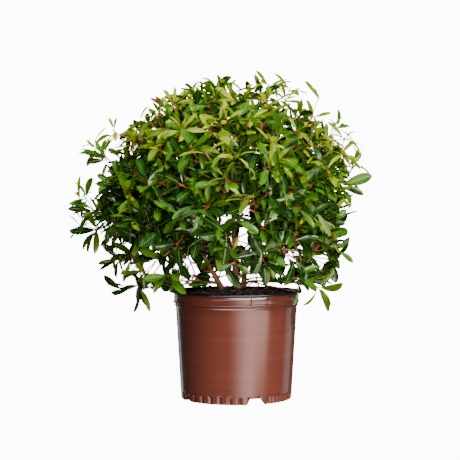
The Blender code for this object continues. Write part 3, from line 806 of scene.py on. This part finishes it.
# A round limb: points down its middle, a radius at each, a fine line, and a stem's radius at foot and tip
Limb = namedtuple("Limb", "points radii fine ends")


def stem_radius(ends, share, flare):
    """Radius of a stem at a share of its length, widened by a flare."""
    foot, tip = ends
    return (foot + (tip - foot) * share ** STEM_TAPER) * (1 + flare)


def grow_stems(masses):
    """The three stems, from the soil to where they enter a mass."""
    stems = []
    for ends, fed, guides in STEMS:
        mass = next(m for m in masses if m.name == fed)
        line = [UP * (SOIL_TOP + SEAT_GAP) + Vector(g) for g in guides] + [mass.entry]
        points = smooth_curve(line, STEM_RINGS)
        radii = []
        for step, point in enumerate(points):
            flare = ROOT_FLARE * exp(-(point.z - points[0].z) / FLARE_HEIGHT)
            radii.append(stem_radius(ends, step / (STEM_RINGS - 1), flare))
        stem = Limb(points, radii, smooth_curve(line, STEM_FINE_STEPS), ends)
        mass.entry_way = (points[-1] - points[-2]).normalized()
        mass.bough = stem
        stems.append(stem)
    return stems


def grow_bough(mass, stems, limbs):
    """One bough from the place on a stem that suits the mass best, clear of every other limb."""
    tries = []
    for stem in stems:
        for ring in range(2, STEM_RINGS - 1):
            gap = mass.entry - stem.points[ring]
            level = hypot(gap.x, gap.y)
            tries.append((level + abs(gap.z - BOUGH_RISE * level) * 1.5, ring, stem))
    for _, ring, stem in sorted(tries, key=lambda one: one[0]):
        limb = bough_from(mass, stem, ring)
        if limb and all(limbs_apart(limb, other) for other in limbs if other is not stem):
            return limb
    raise ValueError(f"no clear way for the bough of {mass.name}")


def bough_from(mass, stem, ring):
    start = stem.points[ring]
    along = (stem.points[ring + 1] - start).normalized()
    out = mass.entry - start
    out -= along * out.dot(along)
    leave = (along * BOUGH_LIFT + out.normalized()).normalized()
    dense = bend_points(start, leave, mass.entry, mass.entry_way, FINE_STEPS)
    base_radius = max(BOUGH_TIP_RADIUS * 1.25, stem.radii[ring] * BOUGH_SHARE)
    first = first_clear(dense, base_radius, stem)
    if first is None:
        return None
    points = spaced(dense[first:], BOUGH_RINGS)
    taper = BOUGH_TIP_RADIUS - base_radius
    radii = [base_radius + taper * k / (BOUGH_RINGS - 1) for k in range(BOUGH_RINGS)]
    return Limb(points, radii, spaced(dense, BOUGH_FINE_STEPS), None)


def first_clear(dense, radius, stem):
    """The first place along a fine line where a ring of this radius stands clear of the stem's skin."""
    for step, place in enumerate(dense[:FINE_STEPS // 2]):
        way = (dense[step + 1] - place).normalized()
        across = way.orthogonal().normalized()
        other = way.cross(across)
        turns = [tau * k / BOUGH_SIDES for k in range(BOUGH_SIDES)]
        rim = [place + radius * (across * cos(a) + other * sin(a)) for a in turns]
        if min(skin_gap(corner, stem) for corner in rim) >= SEAT_GAP:
            return step
    return None


def share_along(place, start, run):
    """The share of a run at which it comes nearest to a place."""
    return min(1, max(0, (place - start).dot(run) / run.length_squared))


def skin_gap(place, limb):
    """Distance from a place to a limb's skin, measured to the straight runs between its points."""
    least = 1.0
    for a, b, ra, rb in zip(limb.points, limb.points[1:], limb.radii, limb.radii[1:]):
        t = share_along(place, a, b - a)
        least = min(least, (place - a.lerp(b, t)).length - (ra + (rb - ra) * t))
    return least


def limbs_apart(one, other):
    return all(skin_gap(point, other) > one.radii[0] + LIMB_GAP for point in spaced(one.points, 30))


def grow_limbs(masses):
    """Stems, then boughs from the lowest mass up."""
    stems = grow_stems(masses)
    limbs = list(stems)
    for mass in sorted(masses, key=lambda m: m.entry.z):
        if not mass.bough:
            mass.bough = grow_bough(mass, stems, limbs)
            limbs.append(mass.bough)
    return limbs


def bark_relief(place, radius):
    """Shallow furrows that run up the limb, and low lumps."""
    stretched = Vector((place.x, place.y, place.z * FURROW_STRETCH))
    patterns = ((stretched, *BARK_FURROWS), (place, *BARK_LUMPS))
    return radius * sum(depth * noise.noise(at * scale) for at, scale, depth in patterns)


def make_bark(limbs):
    """Stems and boughs with furrowed bark, which swell where they run into each other."""
    pieces = Pieces()
    for limb in limbs:
        line, radii = list(limb.fine), []
        for step, point in enumerate(line):
            share = step / (len(line) - 1)
            if limb.ends:
                flare = BARK_FLARE[0] * exp(-(point.z - line[0].z) / BARK_FLARE[1])
                radii.append(stem_radius(limb.ends, share, flare))
            else:
                swell = BOUGH_SWELL[0] * exp(-(point - line[0]).length / BOUGH_SWELL[1])
                radii.append((limb.radii[0] + (BOUGH_TIP_RADIUS - limb.radii[0]) * share) * (1 + swell))
        if limb.ends:
            line.insert(0, line[0] - UP * STEM_SINK)
            radii.insert(0, radii[0] * SUNK_FLARE)
        pieces.add(*tube(line, radii, STEM_SIDES if limb.ends else BARK_SIDES, bark_relief))
    # Thin bark of old wood: reddish and dark tones run up the limb in streaks four times as long as wide
    bark = make_material("thin furrowed bark of old cleyera wood", grained,
                         "9C6244", "562E20", 0.68, 3.846, 0.0008, (1, 1, 0.25))
    return pieces.build("bark_of_stems_and_boughs", [bark], 60)


def spread_shoots(masses, count):
    """Places of the rosettes, in the order they come, each as far from the others as it can be."""
    rng = random.Random(SHOOT_SEED)
    shoots = []
    for x, z in LONG_SHOOTS:
        place = Vector((x, rng.uniform(-1, 1) * LONG_SHOOT_DEPTH, z))
        mass = max(masses, key=lambda m: (place - HEART).normalized().dot(m.way))
        shoots.append((place, mass))
    while len(shoots) < count:
        low, high = INNER_SHELL if len(shoots) % 4 == 3 else OUTER_SHELL
        best = None
        for _ in range(CANDIDATES):
            way = Vector((rng.gauss(0, 1), rng.gauss(0, 1), rng.gauss(0, 1))).normalized()
            place = crown_place(way, rng.uniform(low, high))
            mass = max(masses, key=lambda m: way.dot(m.way))
            if mass.room(place) < SPACE_MARGIN or not clear_of_limbs_and_pot(place, SKIRT_LEVEL):
                continue
            apart = min((place - other).length for other, _ in shoots)
            if best is None or apart > best[0]:
                best = (apart, place, mass)
        if best:
            shoots.append(best[1:])
    return shoots


# A twig: its nodes, from the one that it springs from to the place of its shoot, the ways in which it starts
# and ends, and the number of the shoot
Twig = namedtuple("Twig", "stops start_way place way number")


def grow_twigs(mass, places):
    """Twigs branch from the mass's stem: each shoot joins the node that costs the least length and turn."""
    foot = mass.entry + mass.entry_way * SEAT_GAP
    end = crown_place(mass.way, STEM_END_SHARE)
    twigs = [Twig([foot, end], mass.entry_way, end, mass.way, None)]
    nodes = [(twigs[0].place, mass.way)]
    for number, place in places:
        start, way = min(nodes, key=lambda node: effort(place - node[0], node[1]))
        run = (place - start).normalized()
        steps = max(1, round((place - start).length / INTERNODE))
        end_way = ((place - HEART).normalized() + run + Vector((0, 0, 0.5))).normalized()
        stops = bend_points(start, (way + run).normalized(), place, end_way, steps + 1)
        nodes += [(b, (b - a).normalized()) for a, b in zip(stops, stops[1:-1])]
        nodes.append((place, end_way))
        twigs.append(Twig(stops, (way + run).normalized(), stops[-1], end_way, number))
    return twigs


def effort(gap, way):
    """What it costs a twig to grow across a gap from a node that points this way."""
    turning = TURN_COST - gap.normalized().dot(way)
    return gap.length * turning + (0.04 if gap.length < 0.02 else 0)


def rosette_turns(rng, count):
    """Turn and lean of each leaf or spur of a rosette: every third one upright, the others spreading."""
    turn = rng.uniform(0, tau)
    stances = []
    for step in range(count):
        low, high = SPREAD_LEAN if step % 3 else UPRIGHT_LEAN
        angle = turn + tau * step / count + rng.uniform(-TURN_WOBBLE, TURN_WOBBLE)
        stances.append((angle, radians(rng.uniform(low, high))))
    return stances


def leaf_size(rng, place):
    """Length of one leaf: longer low in the crown, where the leaves are older."""
    share = min(1, max(0, (place.z - SHORTER_ABOVE) / SHORTENING_SPAN))
    low, high = rng.uniform(*LEAF_LENGTH_LOW), rng.uniform(*LEAF_LENGTH_HIGH)
    return low + (high - low) * share


def stance(way, angle, lean):
    """Direction that leaves a shoot's end at this turn and lean."""
    across = way.orthogonal().normalized()
    out = across * cos(angle) + way.cross(across) * sin(angle)
    return (way * cos(lean) + out * sin(lean)).normalized()


def leaf_mesh(root, along, upper, length, width, curl, fold):
    """A blade with its own outline, folded along the rib and bent back towards its tip."""
    side = along.cross(upper).normalized()
    upper = side.cross(along)
    points, place, way = [], Vector(root), Vector(along)
    last = 0.0
    for station, breadth in LEAF_STATIONS:
        step = (station - last) * length
        bend = curl * (station - last)
        way = (way - upper * bend).normalized()
        upper = side.cross(way)
        place = place + way * step
        last = station
        half = breadth * width / 2
        rise = tan(fold) * half
        for share, lift in LEAF_SECTION:
            points.append(place + side * (half * share) + upper * (rise * lift))
    return points, grid_faces(len(LEAF_STATIONS), len(LEAF_SECTION), closed=False)


def leaf_fits(root, tip, reach, skirt):
    """A leaf keeps inside the crown's reach, above its skirt and out of the room of stems and pot."""
    return all(
        clear_of_limbs_and_pot(place, skirt) and crown_share(place) < reach
        for place in (root.lerp(tip, 0.5), root.lerp(tip, 0.8), tip)
    )


def grow_leaf(rng, node, way, angle, lean, limits):
    """Blade and stalk of one leaf, shorter where room is short, or None where it has none."""
    length = leaf_size(rng, node)
    along = stance(way, angle, lean)
    if node.z < DROOP_BELOW:
        along = (along - UP * rng.uniform(-LEAF_DROOP, LEAF_DROOP)).normalized()
    by_way, by_sky, spread = LEAF_FACING
    sky = way * by_way + UP * by_sky + Vector([rng.gauss(0, spread) for _ in range(3)])
    upper = sky - along * sky.dot(along)
    if upper.length < 0.15:
        upper = way - along * way.dot(along)
    upper.normalize()
    root = node + along * STALK_LENGTH
    for shrink in LEAF_SHRINKS:
        curl = rng.uniform(*LEAF_CURL)
        sunk = along * (length * shrink) - upper * (length * shrink * curl * 0.45)
        if limits is None and root.z + sunk.z > SOIL_TOP + 0.004 and not in_window(rng, root, root + sunk):
            break
        if limits and leaf_fits(root, root + sunk, *limits) and not in_window(rng, root, root + sunk):
            break
    else:
        return None
    width = length * shrink * LEAF_WIDTH * rng.uniform(*BREADTH_RANGE)
    fold = LEAF_FOLD * rng.uniform(*FOLD_RANGE)
    points, faces = leaf_mesh(root, along, upper, length * shrink, width, curl, fold)
    return points, faces, [node, node.lerp(root, 0.5), root, points[7] - upper * 0.0003]


def seen(place):
    """Where the eye sees a place, on the upright plane through the pot's axis."""
    share = EYE.y / (EYE.y - place.y)
    return EYE.x + (place.x - EYE.x) * share, EYE.z + (place.z - EYE.z) * share


def set_out(across, height, depth):
    """The place at this depth that the eye sees at this distance across and this height on the axis."""
    share = (depth - EYE.y) / -EYE.y
    return Vector((across * share, depth, EYE.z + (height - EYE.z) * share))


def hides_stem(across, height):
    """True for a place before one of the bare stretches of stem, both as the eye sees them."""
    place = Vector((across, height))
    for low, high, radius in BARE_STEMS:
        low, run = Vector(low), Vector(high) - Vector(low)
        if (place - low - run * share_along(place, low, run)).length < radius:
            return True
    return False


def in_window(rng, root, tip):
    """True for a leaf that would hide the main stem, or close a gap or a thin spot of the crown."""
    for share in (0.25, 0.6, 0.9):
        across, height = seen(root.lerp(tip, share))
        if root.y < 0 and hides_stem(across, height) and rng.random() < STEM_BARED:
            return True
        if any(hypot(across - x, height - z) < radius + GAP_EDGE for x, z, radius in GAPS):
            return True
    across, height = seen(root.lerp(tip, 0.6))
    return any(
        hypot(across - x, height - z) < radius and rng.random() > kept
        for x, z, radius, kept in THIN_SPOTS
    )


class Foliage:
    """Everything that grows past the boughs, gathered by the piece that it goes into."""

    def __init__(self):
        self.pieces = {name: Pieces() for name in FOLIAGE_FINISHES}

    def add_twig(self, stops, start_way, end_way, thick, thin, piece="older_twigs"):
        """A twig with a low knot at each of its nodes."""
        line = []
        ways = [start_way, *[(c - a).normalized() for a, c in zip(stops, stops[2:])], end_way]
        for a, b, wa, wb in zip(stops, stops[1:], ways, ways[1:]):
            line += bend_points(a, wa, b, wb, TWIG_STEPS + 1)[:-1]
        line.append(stops[-1])
        radii = []
        for step in range(len(line)):
            knot = TWIG_KNOT if step % TWIG_STEPS == 0 and step else 1.0
            share = step / (len(line) - 1)
            radii.append((thick + (thin - thick) * share) * knot)
        self.pieces[piece].add(*tube(line, radii, TWIG_SIDES))

    def add_leaf(self, leaf, tone):
        """Keeps a leaf that found room: its blade by tone, its stalk and midrib with the others."""
        points, faces, stalk = leaf
        row = len(LEAF_SECTION)
        ribs = [points[number - number % row + row // 2] for number in range(len(points))]
        points = [middle.lerp(point, TONE_BREADTH[tone]) for point, middle in zip(points, ribs)]
        self.pieces[f"{tone}_leaves"].add(points, faces)
        radii = [STALK_RADIUS * share for share in STALK_TAPER]
        self.pieces["leaf_stalks_and_buds"].add(*tube(stalk, radii, 3))
        rib = points[row + row // 2:-row:row]
        radii = [RIB_RADIUS * (1 - RIB_TAPER * k) for k in range(len(rib))]
        self.pieces["leaf_midribs"].add(*tube(rib, radii, 3))

    def add_bud(self, place, way):
        line = [place + way * distance for distance in BUD]
        self.pieces["leaf_stalks_and_buds"].add(*tube(line, list(BUD.values()), 5))

    def add_bent_twig(self, start, start_way, end, end_way, radii):
        """A twig in one bend, with one node half way."""
        self.add_twig(bend_points(start, start_way, end, end_way, 3), start_way, end_way, *radii)


def tone_of(rng, place):
    """Tone of one spray: young and pale towards the top and the outside, old and dark below and within,
    partly from age and partly as painted light on top and painted shade within.
    """
    height = (place.z - HEART.z) / CROWN_RADII.z
    youth_and_light = YOUTH_AND_LIGHT_BY_HEIGHT * max(height, YOUTH_AND_LIGHT_FLOOR) - YOUTH_AND_LIGHT_SHIFT
    youth_and_light += YOUTH_AND_LIGHT_BY_REACH * (crown_share(place) - YOUTH_AND_LIGHT_REACH) + rng.gauss(0, YOUTH_AND_LIGHT_SPREAD)
    return next((tone for tone, least in TONE_LIMITS if youth_and_light > least), "deep")


def grow_foliage(masses, limbs):
    """Sprays by the rule of the CAD source, each carried on to finer spurs with rosettes of their own."""
    foliage = Foliage()
    nodes = []
    shoots = spread_shoots(masses, SHOOT_COUNT)
    for mass in masses:
        places = [(number, place) for number, (place, owner) in enumerate(shoots) if owner is mass]
        for twig in grow_twigs(mass, places):
            if twig.number is None:
                foliage.add_twig(twig.stops, twig.start_way, twig.way, BOUGH_TIP_RADIUS, MASS_STEM_TIP)
                continue
            low = twig.place.z < OPEN_BELOW
            if twig.number >= SHARED_SHOOTS and (low or crown_share(twig.place) > FILL_REACH):
                continue
            rng = random.Random(SHOOT_SEED * 1000 + twig.number)
            kind = "young_twigs" if crown_share(twig.stops[0]) > YOUNG_TWIG_SHARE else "older_twigs"
            foliage.add_twig(twig.stops, twig.start_way, twig.way, TWIG_RADIUS * 1.25, TWIG_RADIUS, kind)
            grow_spray(foliage, rng, twig)
            nodes += twig.stops[1:]
    stems = [point for limb in limbs if limb.ends for point in limb.fine[LOW_STEM]]
    grow_sprays_at(foliage, LOW_SPRAYS, stems, LOW_TWIG, None)
    grow_whorls(foliage, FRONT_WHORLS, stems, LOW_TWIG)
    grow_whorls(foliage, EDGE_WHORLS, nodes, FINE_TWIG)
    grow_sprays_at(foliage, EDGE_SPRAYS, nodes, FINE_TWIG, (EDGE_SPRAY_REACH, FINE_SKIRT))
    return foliage


def grow_rosette(rng, place, way, stances, limits):
    """The leaves of a rosette that find room."""
    leaves = [grow_leaf(rng, place, way, angle, lean, limits) for angle, lean in stances]
    return [leaf for leaf in leaves if leaf]


def grow_spray(foliage, rng, twig):
    """A rosette at the shoot's end, spurs that carry further rosettes, and dark leaves down its twig, old and
    partly painted shade within the crown.
    """
    long = twig.number < len(LONG_SHOOTS)
    share = crown_share(twig.place)
    limits = (max(CROWN_EDGE, share + LONG_SHOOT_LEAF), LONG_SKIRT_LEVEL if long else FINE_SKIRT)
    stances = rosette_turns(rng, LONG_ROSETTE if long else rng.choice(ROSETTES))
    airy = twig.place.z > AIRY_ABOVE and share > 0.7
    spurs = rng.sample(range(len(stances)), (2 if rng.random() < 0.6 else 3) - airy)
    tone = tone_of(rng, twig.place)
    bare = [one for number, one in enumerate(stances) if number not in spurs]
    for leaf in grow_rosette(rng, twig.place, twig.way, bare, limits):
        foliage.add_leaf(leaf, tone)
    for number in spurs:
        grow_spur(foliage, rng, twig, stances[number], limits)
    if long:
        add_lone_leaf(foliage, twig.place)
    for node, before in zip(twig.stops[1:-1], twig.stops):
        count = NODE_LEAVES if node.z > OPEN_BELOW else LOW_NODE_LEAVES
        stances = [(angle, lean + NODE_LEAN) for angle, lean in rosette_turns(rng, count)]
        for leaf in grow_rosette(rng, node, (node - before).normalized(), stances, limits):
            foliage.add_leaf(leaf, "deep")


def grow_spur(foliage, rng, twig, way_out, limits):
    """A short young twig that leaves a shoot's end in the place of a leaf, with a rosette and a bud."""
    angle, lean = way_out
    way = stance(twig.way, angle, lean * 0.75)
    end_way = (way + (twig.place - HEART).normalized() * 0.5 + UP * 0.35).normalized()
    end = twig.place + (way + end_way).normalized() * rng.uniform(*SPUR_LENGTH)
    if not clear_of_limbs_and_pot(end, limits[1]) or crown_share(end) > limits[0] - 0.05:
        return
    leaves = grow_rosette(rng, end, end_way, rosette_turns(rng, rng.choice(SPUR_ROSETTES)), limits)
    if len(leaves) < LEAST_ROSETTE:
        return
    foliage.add_twig([twig.place, end], way, end_way, TWIG_RADIUS * 0.9, TWIG_RADIUS * 0.7, "young_twigs")
    foliage.add_bud(end, end_way)
    tone = tone_of(rng, end)
    for leaf in leaves:
        foliage.add_leaf(leaf, tone)


def grow_sprays_at(foliage, places, roots, twig_radii, limits):
    """Short leafy twigs, each from the nearest of these roots to a place that the growth rule leaves open."""
    for number, spot in enumerate(places):
        rng = random.Random(number)
        place = Vector(spot)
        start = min(roots, key=lambda p: (place - p).length + 2 * max(0, p.z - place.z + 0.012))
        run = (place - start).normalized()
        start_way = (run + UP * 0.5).normalized()
        end_way = (run + UP * rng.uniform(0.1, 0.6)).normalized()
        foliage.add_bent_twig(start, start_way, place, end_way, twig_radii)
        # Low sprays take the darker tones: old leaves, partly painted shade
        tones = ("deep", "mid") if place.z < OPEN_BELOW else ("mid", "fresh")
        count = rng.choice(LOW_ROSETTES) if limits is None else LONG_ROSETTE
        for angle, lean in rosette_turns(rng, count):
            leaf = grow_leaf(rng, place, end_way, angle, lean, limits)
            if leaf:
                foliage.add_leaf(leaf, rng.choice(tones))
        add_lone_leaf(foliage, place)


def add_leaf_towards(foliage, place, tip, tone, breadth):
    """One leaf from a twig's end to a given tip, with its upper side towards the front."""
    gap = Vector(tip) - place
    root = place + gap.normalized() * STALK_LENGTH
    side = gap.cross(Vector((0.7, -1, 0.3))).normalized()
    length = gap.length - STALK_LENGTH
    points, faces = leaf_mesh(root, gap.normalized(), side.cross(gap).normalized(), length,
                              length * breadth, 0.3, LEAF_FOLD)
    foliage.add_leaf((points, faces, [place, place.lerp(root, 0.5), root, points[7]]), tone)


def add_lone_leaf(foliage, place):
    """The leaf that stands out from the others at a place, if it has one."""
    for shoot, tip, tone in LONE_LEAVES:
        if hypot(shoot[0] - place.x, shoot[2] - place.z) < SAME_PLACE:
            add_leaf_towards(foliage, place, tip, tone, LONE_LEAF_WIDTH)


def grow_whorls(foliage, whorls, roots, twig_radii):
    """Twigs that come out from the nearest of these roots, each with a few leaves spread like a hand."""
    for spot, leaves in whorls:
        place = set_out(*spot)
        start = min(roots, key=lambda p: (place - p).length)
        start_way, end_way = (place - start).normalized(), (place - start + UP * 0.02).normalized()
        foliage.add_bent_twig(start, start_way, place, end_way, twig_radii)
        for tip, tone in leaves:
            add_leaf_towards(foliage, place, set_out(*tip), tone, WHORL_LEAF_WIDTH)


# What each piece of the foliage is made of: the part's slot, the angle up to which it is smooth, its stuff.
# Tan skins show the twigs between the leaves. The leaves go from nearly black green, which is glossy and lets
# little light through, to a soft lime that glows. The dark tones within and below the crown and the pale ones
# on top are partly painted shade and painted light.
FOLIAGE_FINISHES = {
    "older_twigs": ("bark", 60, "tan bark of second-year cleyera twigs",
                    grained, "B48054", "744A2C", 0.6, 2.0, 0.0003),
    "young_twigs": ("foliage", 60, "smooth tan skin of this year's cleyera twigs",
                    grained, "C07A3C", "94522A", 0.45, 2.0, 0.0001),
    "leaf_stalks_and_buds": ("foliage", 60, "reddish-tan leaf stalks and buds of cleyera",
                             grained, "B0642E", "80401C", 0.4, 2.0, 0.0001),
    "leaf_midribs": ("foliage", 60, "pale midrib of a cleyera leaf",
                     grained, "8CA03C", "5E7A24", 0.4, 2.0, 0.0001),
    "deep_leaves": ("foliage", 80, "old shaded cleyera leaf",
                    leaf_blade, "1A420A", "0C2405", "406A10", 0.23, 0.04),
    "mid_leaves": ("foliage", 80, "full-grown cleyera leaf",
                   leaf_blade, "426B0F", "2C550A", "668710", 0.24, 0.10),
    "fresh_leaves": ("foliage", 80, "young cleyera leaf in sun",
                     leaf_blade, "6A8414", "48640B", "9CB210", 0.30, 0.20),
    "lime_leaves": ("foliage", 80, "new lime-green cleyera leaf",
                    leaf_blade, "A0AC1C", "809612", "C4CE1C", 0.34, 0.30),
    "bronze_leaves": ("foliage", 80, "unfolding bronze cleyera leaf",
                      leaf_blade, "9A3A14", "6A2A10", "C0501A", 0.36, 0.25),
}


def show(piece, nodes):
    """Hangs a finished piece on the body in place of the nodes that it stands for."""
    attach(piece, "root")
    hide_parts(*nodes)


def make_plant():
    nodes = sorted(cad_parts)
    limb_nodes = [n for n in nodes if n.startswith(("stem_", "bough_"))]
    foliage_nodes = [n for n in nodes if n.startswith("foliage_")]
    show(make_pot(), ["pot"])
    show(make_compost(), ["soil"])
    masses = make_masses()
    limbs = grow_limbs(masses)
    show(make_bark(limbs), limb_nodes)
    foliage = grow_foliage(masses, limbs)
    for name, (slot_name, smooth_angle, real_name, *looks) in FOLIAGE_FINISHES.items():
        piece = foliage.pieces[name].build(name, [make_material(real_name, *looks)], smooth_angle)
        show(piece, foliage_nodes)


def add_lamp(name, place, target, size, power, kind):
    lamp = bpy.data.lights.new(name, "AREA")
    lamp.shape = "RECTANGLE"
    lamp.size, lamp.size_y = size
    lamp.energy = power
    lamp.color = LAMP_TINT
    stand = bpy.data.objects.new(name, lamp)
    stand.location = place
    stand.rotation_euler = (Vector(target) - Vector(place)).to_track_quat("-Z", "Y").to_euler()
    stand.visible_glossy = kind != "scrim"
    stand.visible_diffuse = kind != "sheen strip"
    bpy.context.scene.collection.objects.link(stand)


def make_front_card():
    """The card whose reflection fades leftwards and ends in a slanting edge on the right."""
    lower = [CARD_DISTANCE * crown_way(radians(turn - 90), 0) + UP * foot for turn, foot in CARD_FOOT]
    upper = [Vector((point.x, point.y, CARD_TOP)) for point in lower]
    pieces = Pieces()
    pieces.add(lower + upper, grid_faces(2, len(CARD_FOOT), closed=False))
    card = pieces.build("front_card", [make_material("faded front card", faded_card)])
    card.visible_camera = card.visible_diffuse = card.visible_transmission = card.visible_shadow = False
    return card


def make_dome():
    """A white half ball with a flat top."""
    rows, columns = DOME_GRID
    turns = [tau * step / columns for step in range(columns)]
    heights = [pi / 2 * row / rows for row in range(rows)]
    points = [STUDIO_RADIUS * crown_way(turn, height) for height in heights for turn in turns]
    dome = Pieces()
    dome.add(points, grid_faces(rows, columns) + [tuple(range(len(points) - columns, len(points)))])
    return dome.build("studio_dome", [make_material("white studio dome", studio_white)])


def make_studio():
    """A white floor and dome that only the camera sees, the front card, faint surroundings and the lamps."""
    ground = Pieces()
    corners = [STUDIO_RADIUS * Vector(p) for p in ((-1, -1, 0), (1, -1, 0), (1, 1, 0), (-1, 1, 0))]
    ground.add(corners, ((0, 1, 2, 3),))
    floor = ground.build("studio_floor", [make_material("white studio floor", studio_white)])
    shell = make_dome()
    for part in (floor, shell):
        part.visible_diffuse = part.visible_glossy = part.visible_transmission = part.visible_shadow = False
    make_front_card()
    world = bpy.data.worlds.new("white studio")
    bpy.context.scene.world = world
    world.use_nodes = True
    background = world.node_tree.nodes["Background"].inputs
    background["Color"].default_value = (1, 1, 1, 1)
    background["Strength"].default_value = SURROUND
    for settings in LAMPS:
        add_lamp(*settings)


def place_camera():
    lens = bpy.data.cameras.new("camera")
    lens.sensor_width = SENSOR_WIDTH
    lens.lens = FOCAL_PIXELS / PHOTO_WIDTH * SENSOR_WIDTH
    lens.shift_x = SHIFT_PIXELS / PHOTO_WIDTH
    lens.dof.use_dof = False
    camera = bpy.data.objects.new("camera", lens)
    camera.location = EYE
    camera.rotation_euler = (pi / 2 - CAMERA_TILT, 0, 0)
    bpy.context.scene.collection.objects.link(camera)
    bpy.context.scene.camera = camera


def main():
    make_plant()
    make_studio()
    place_camera()


main()
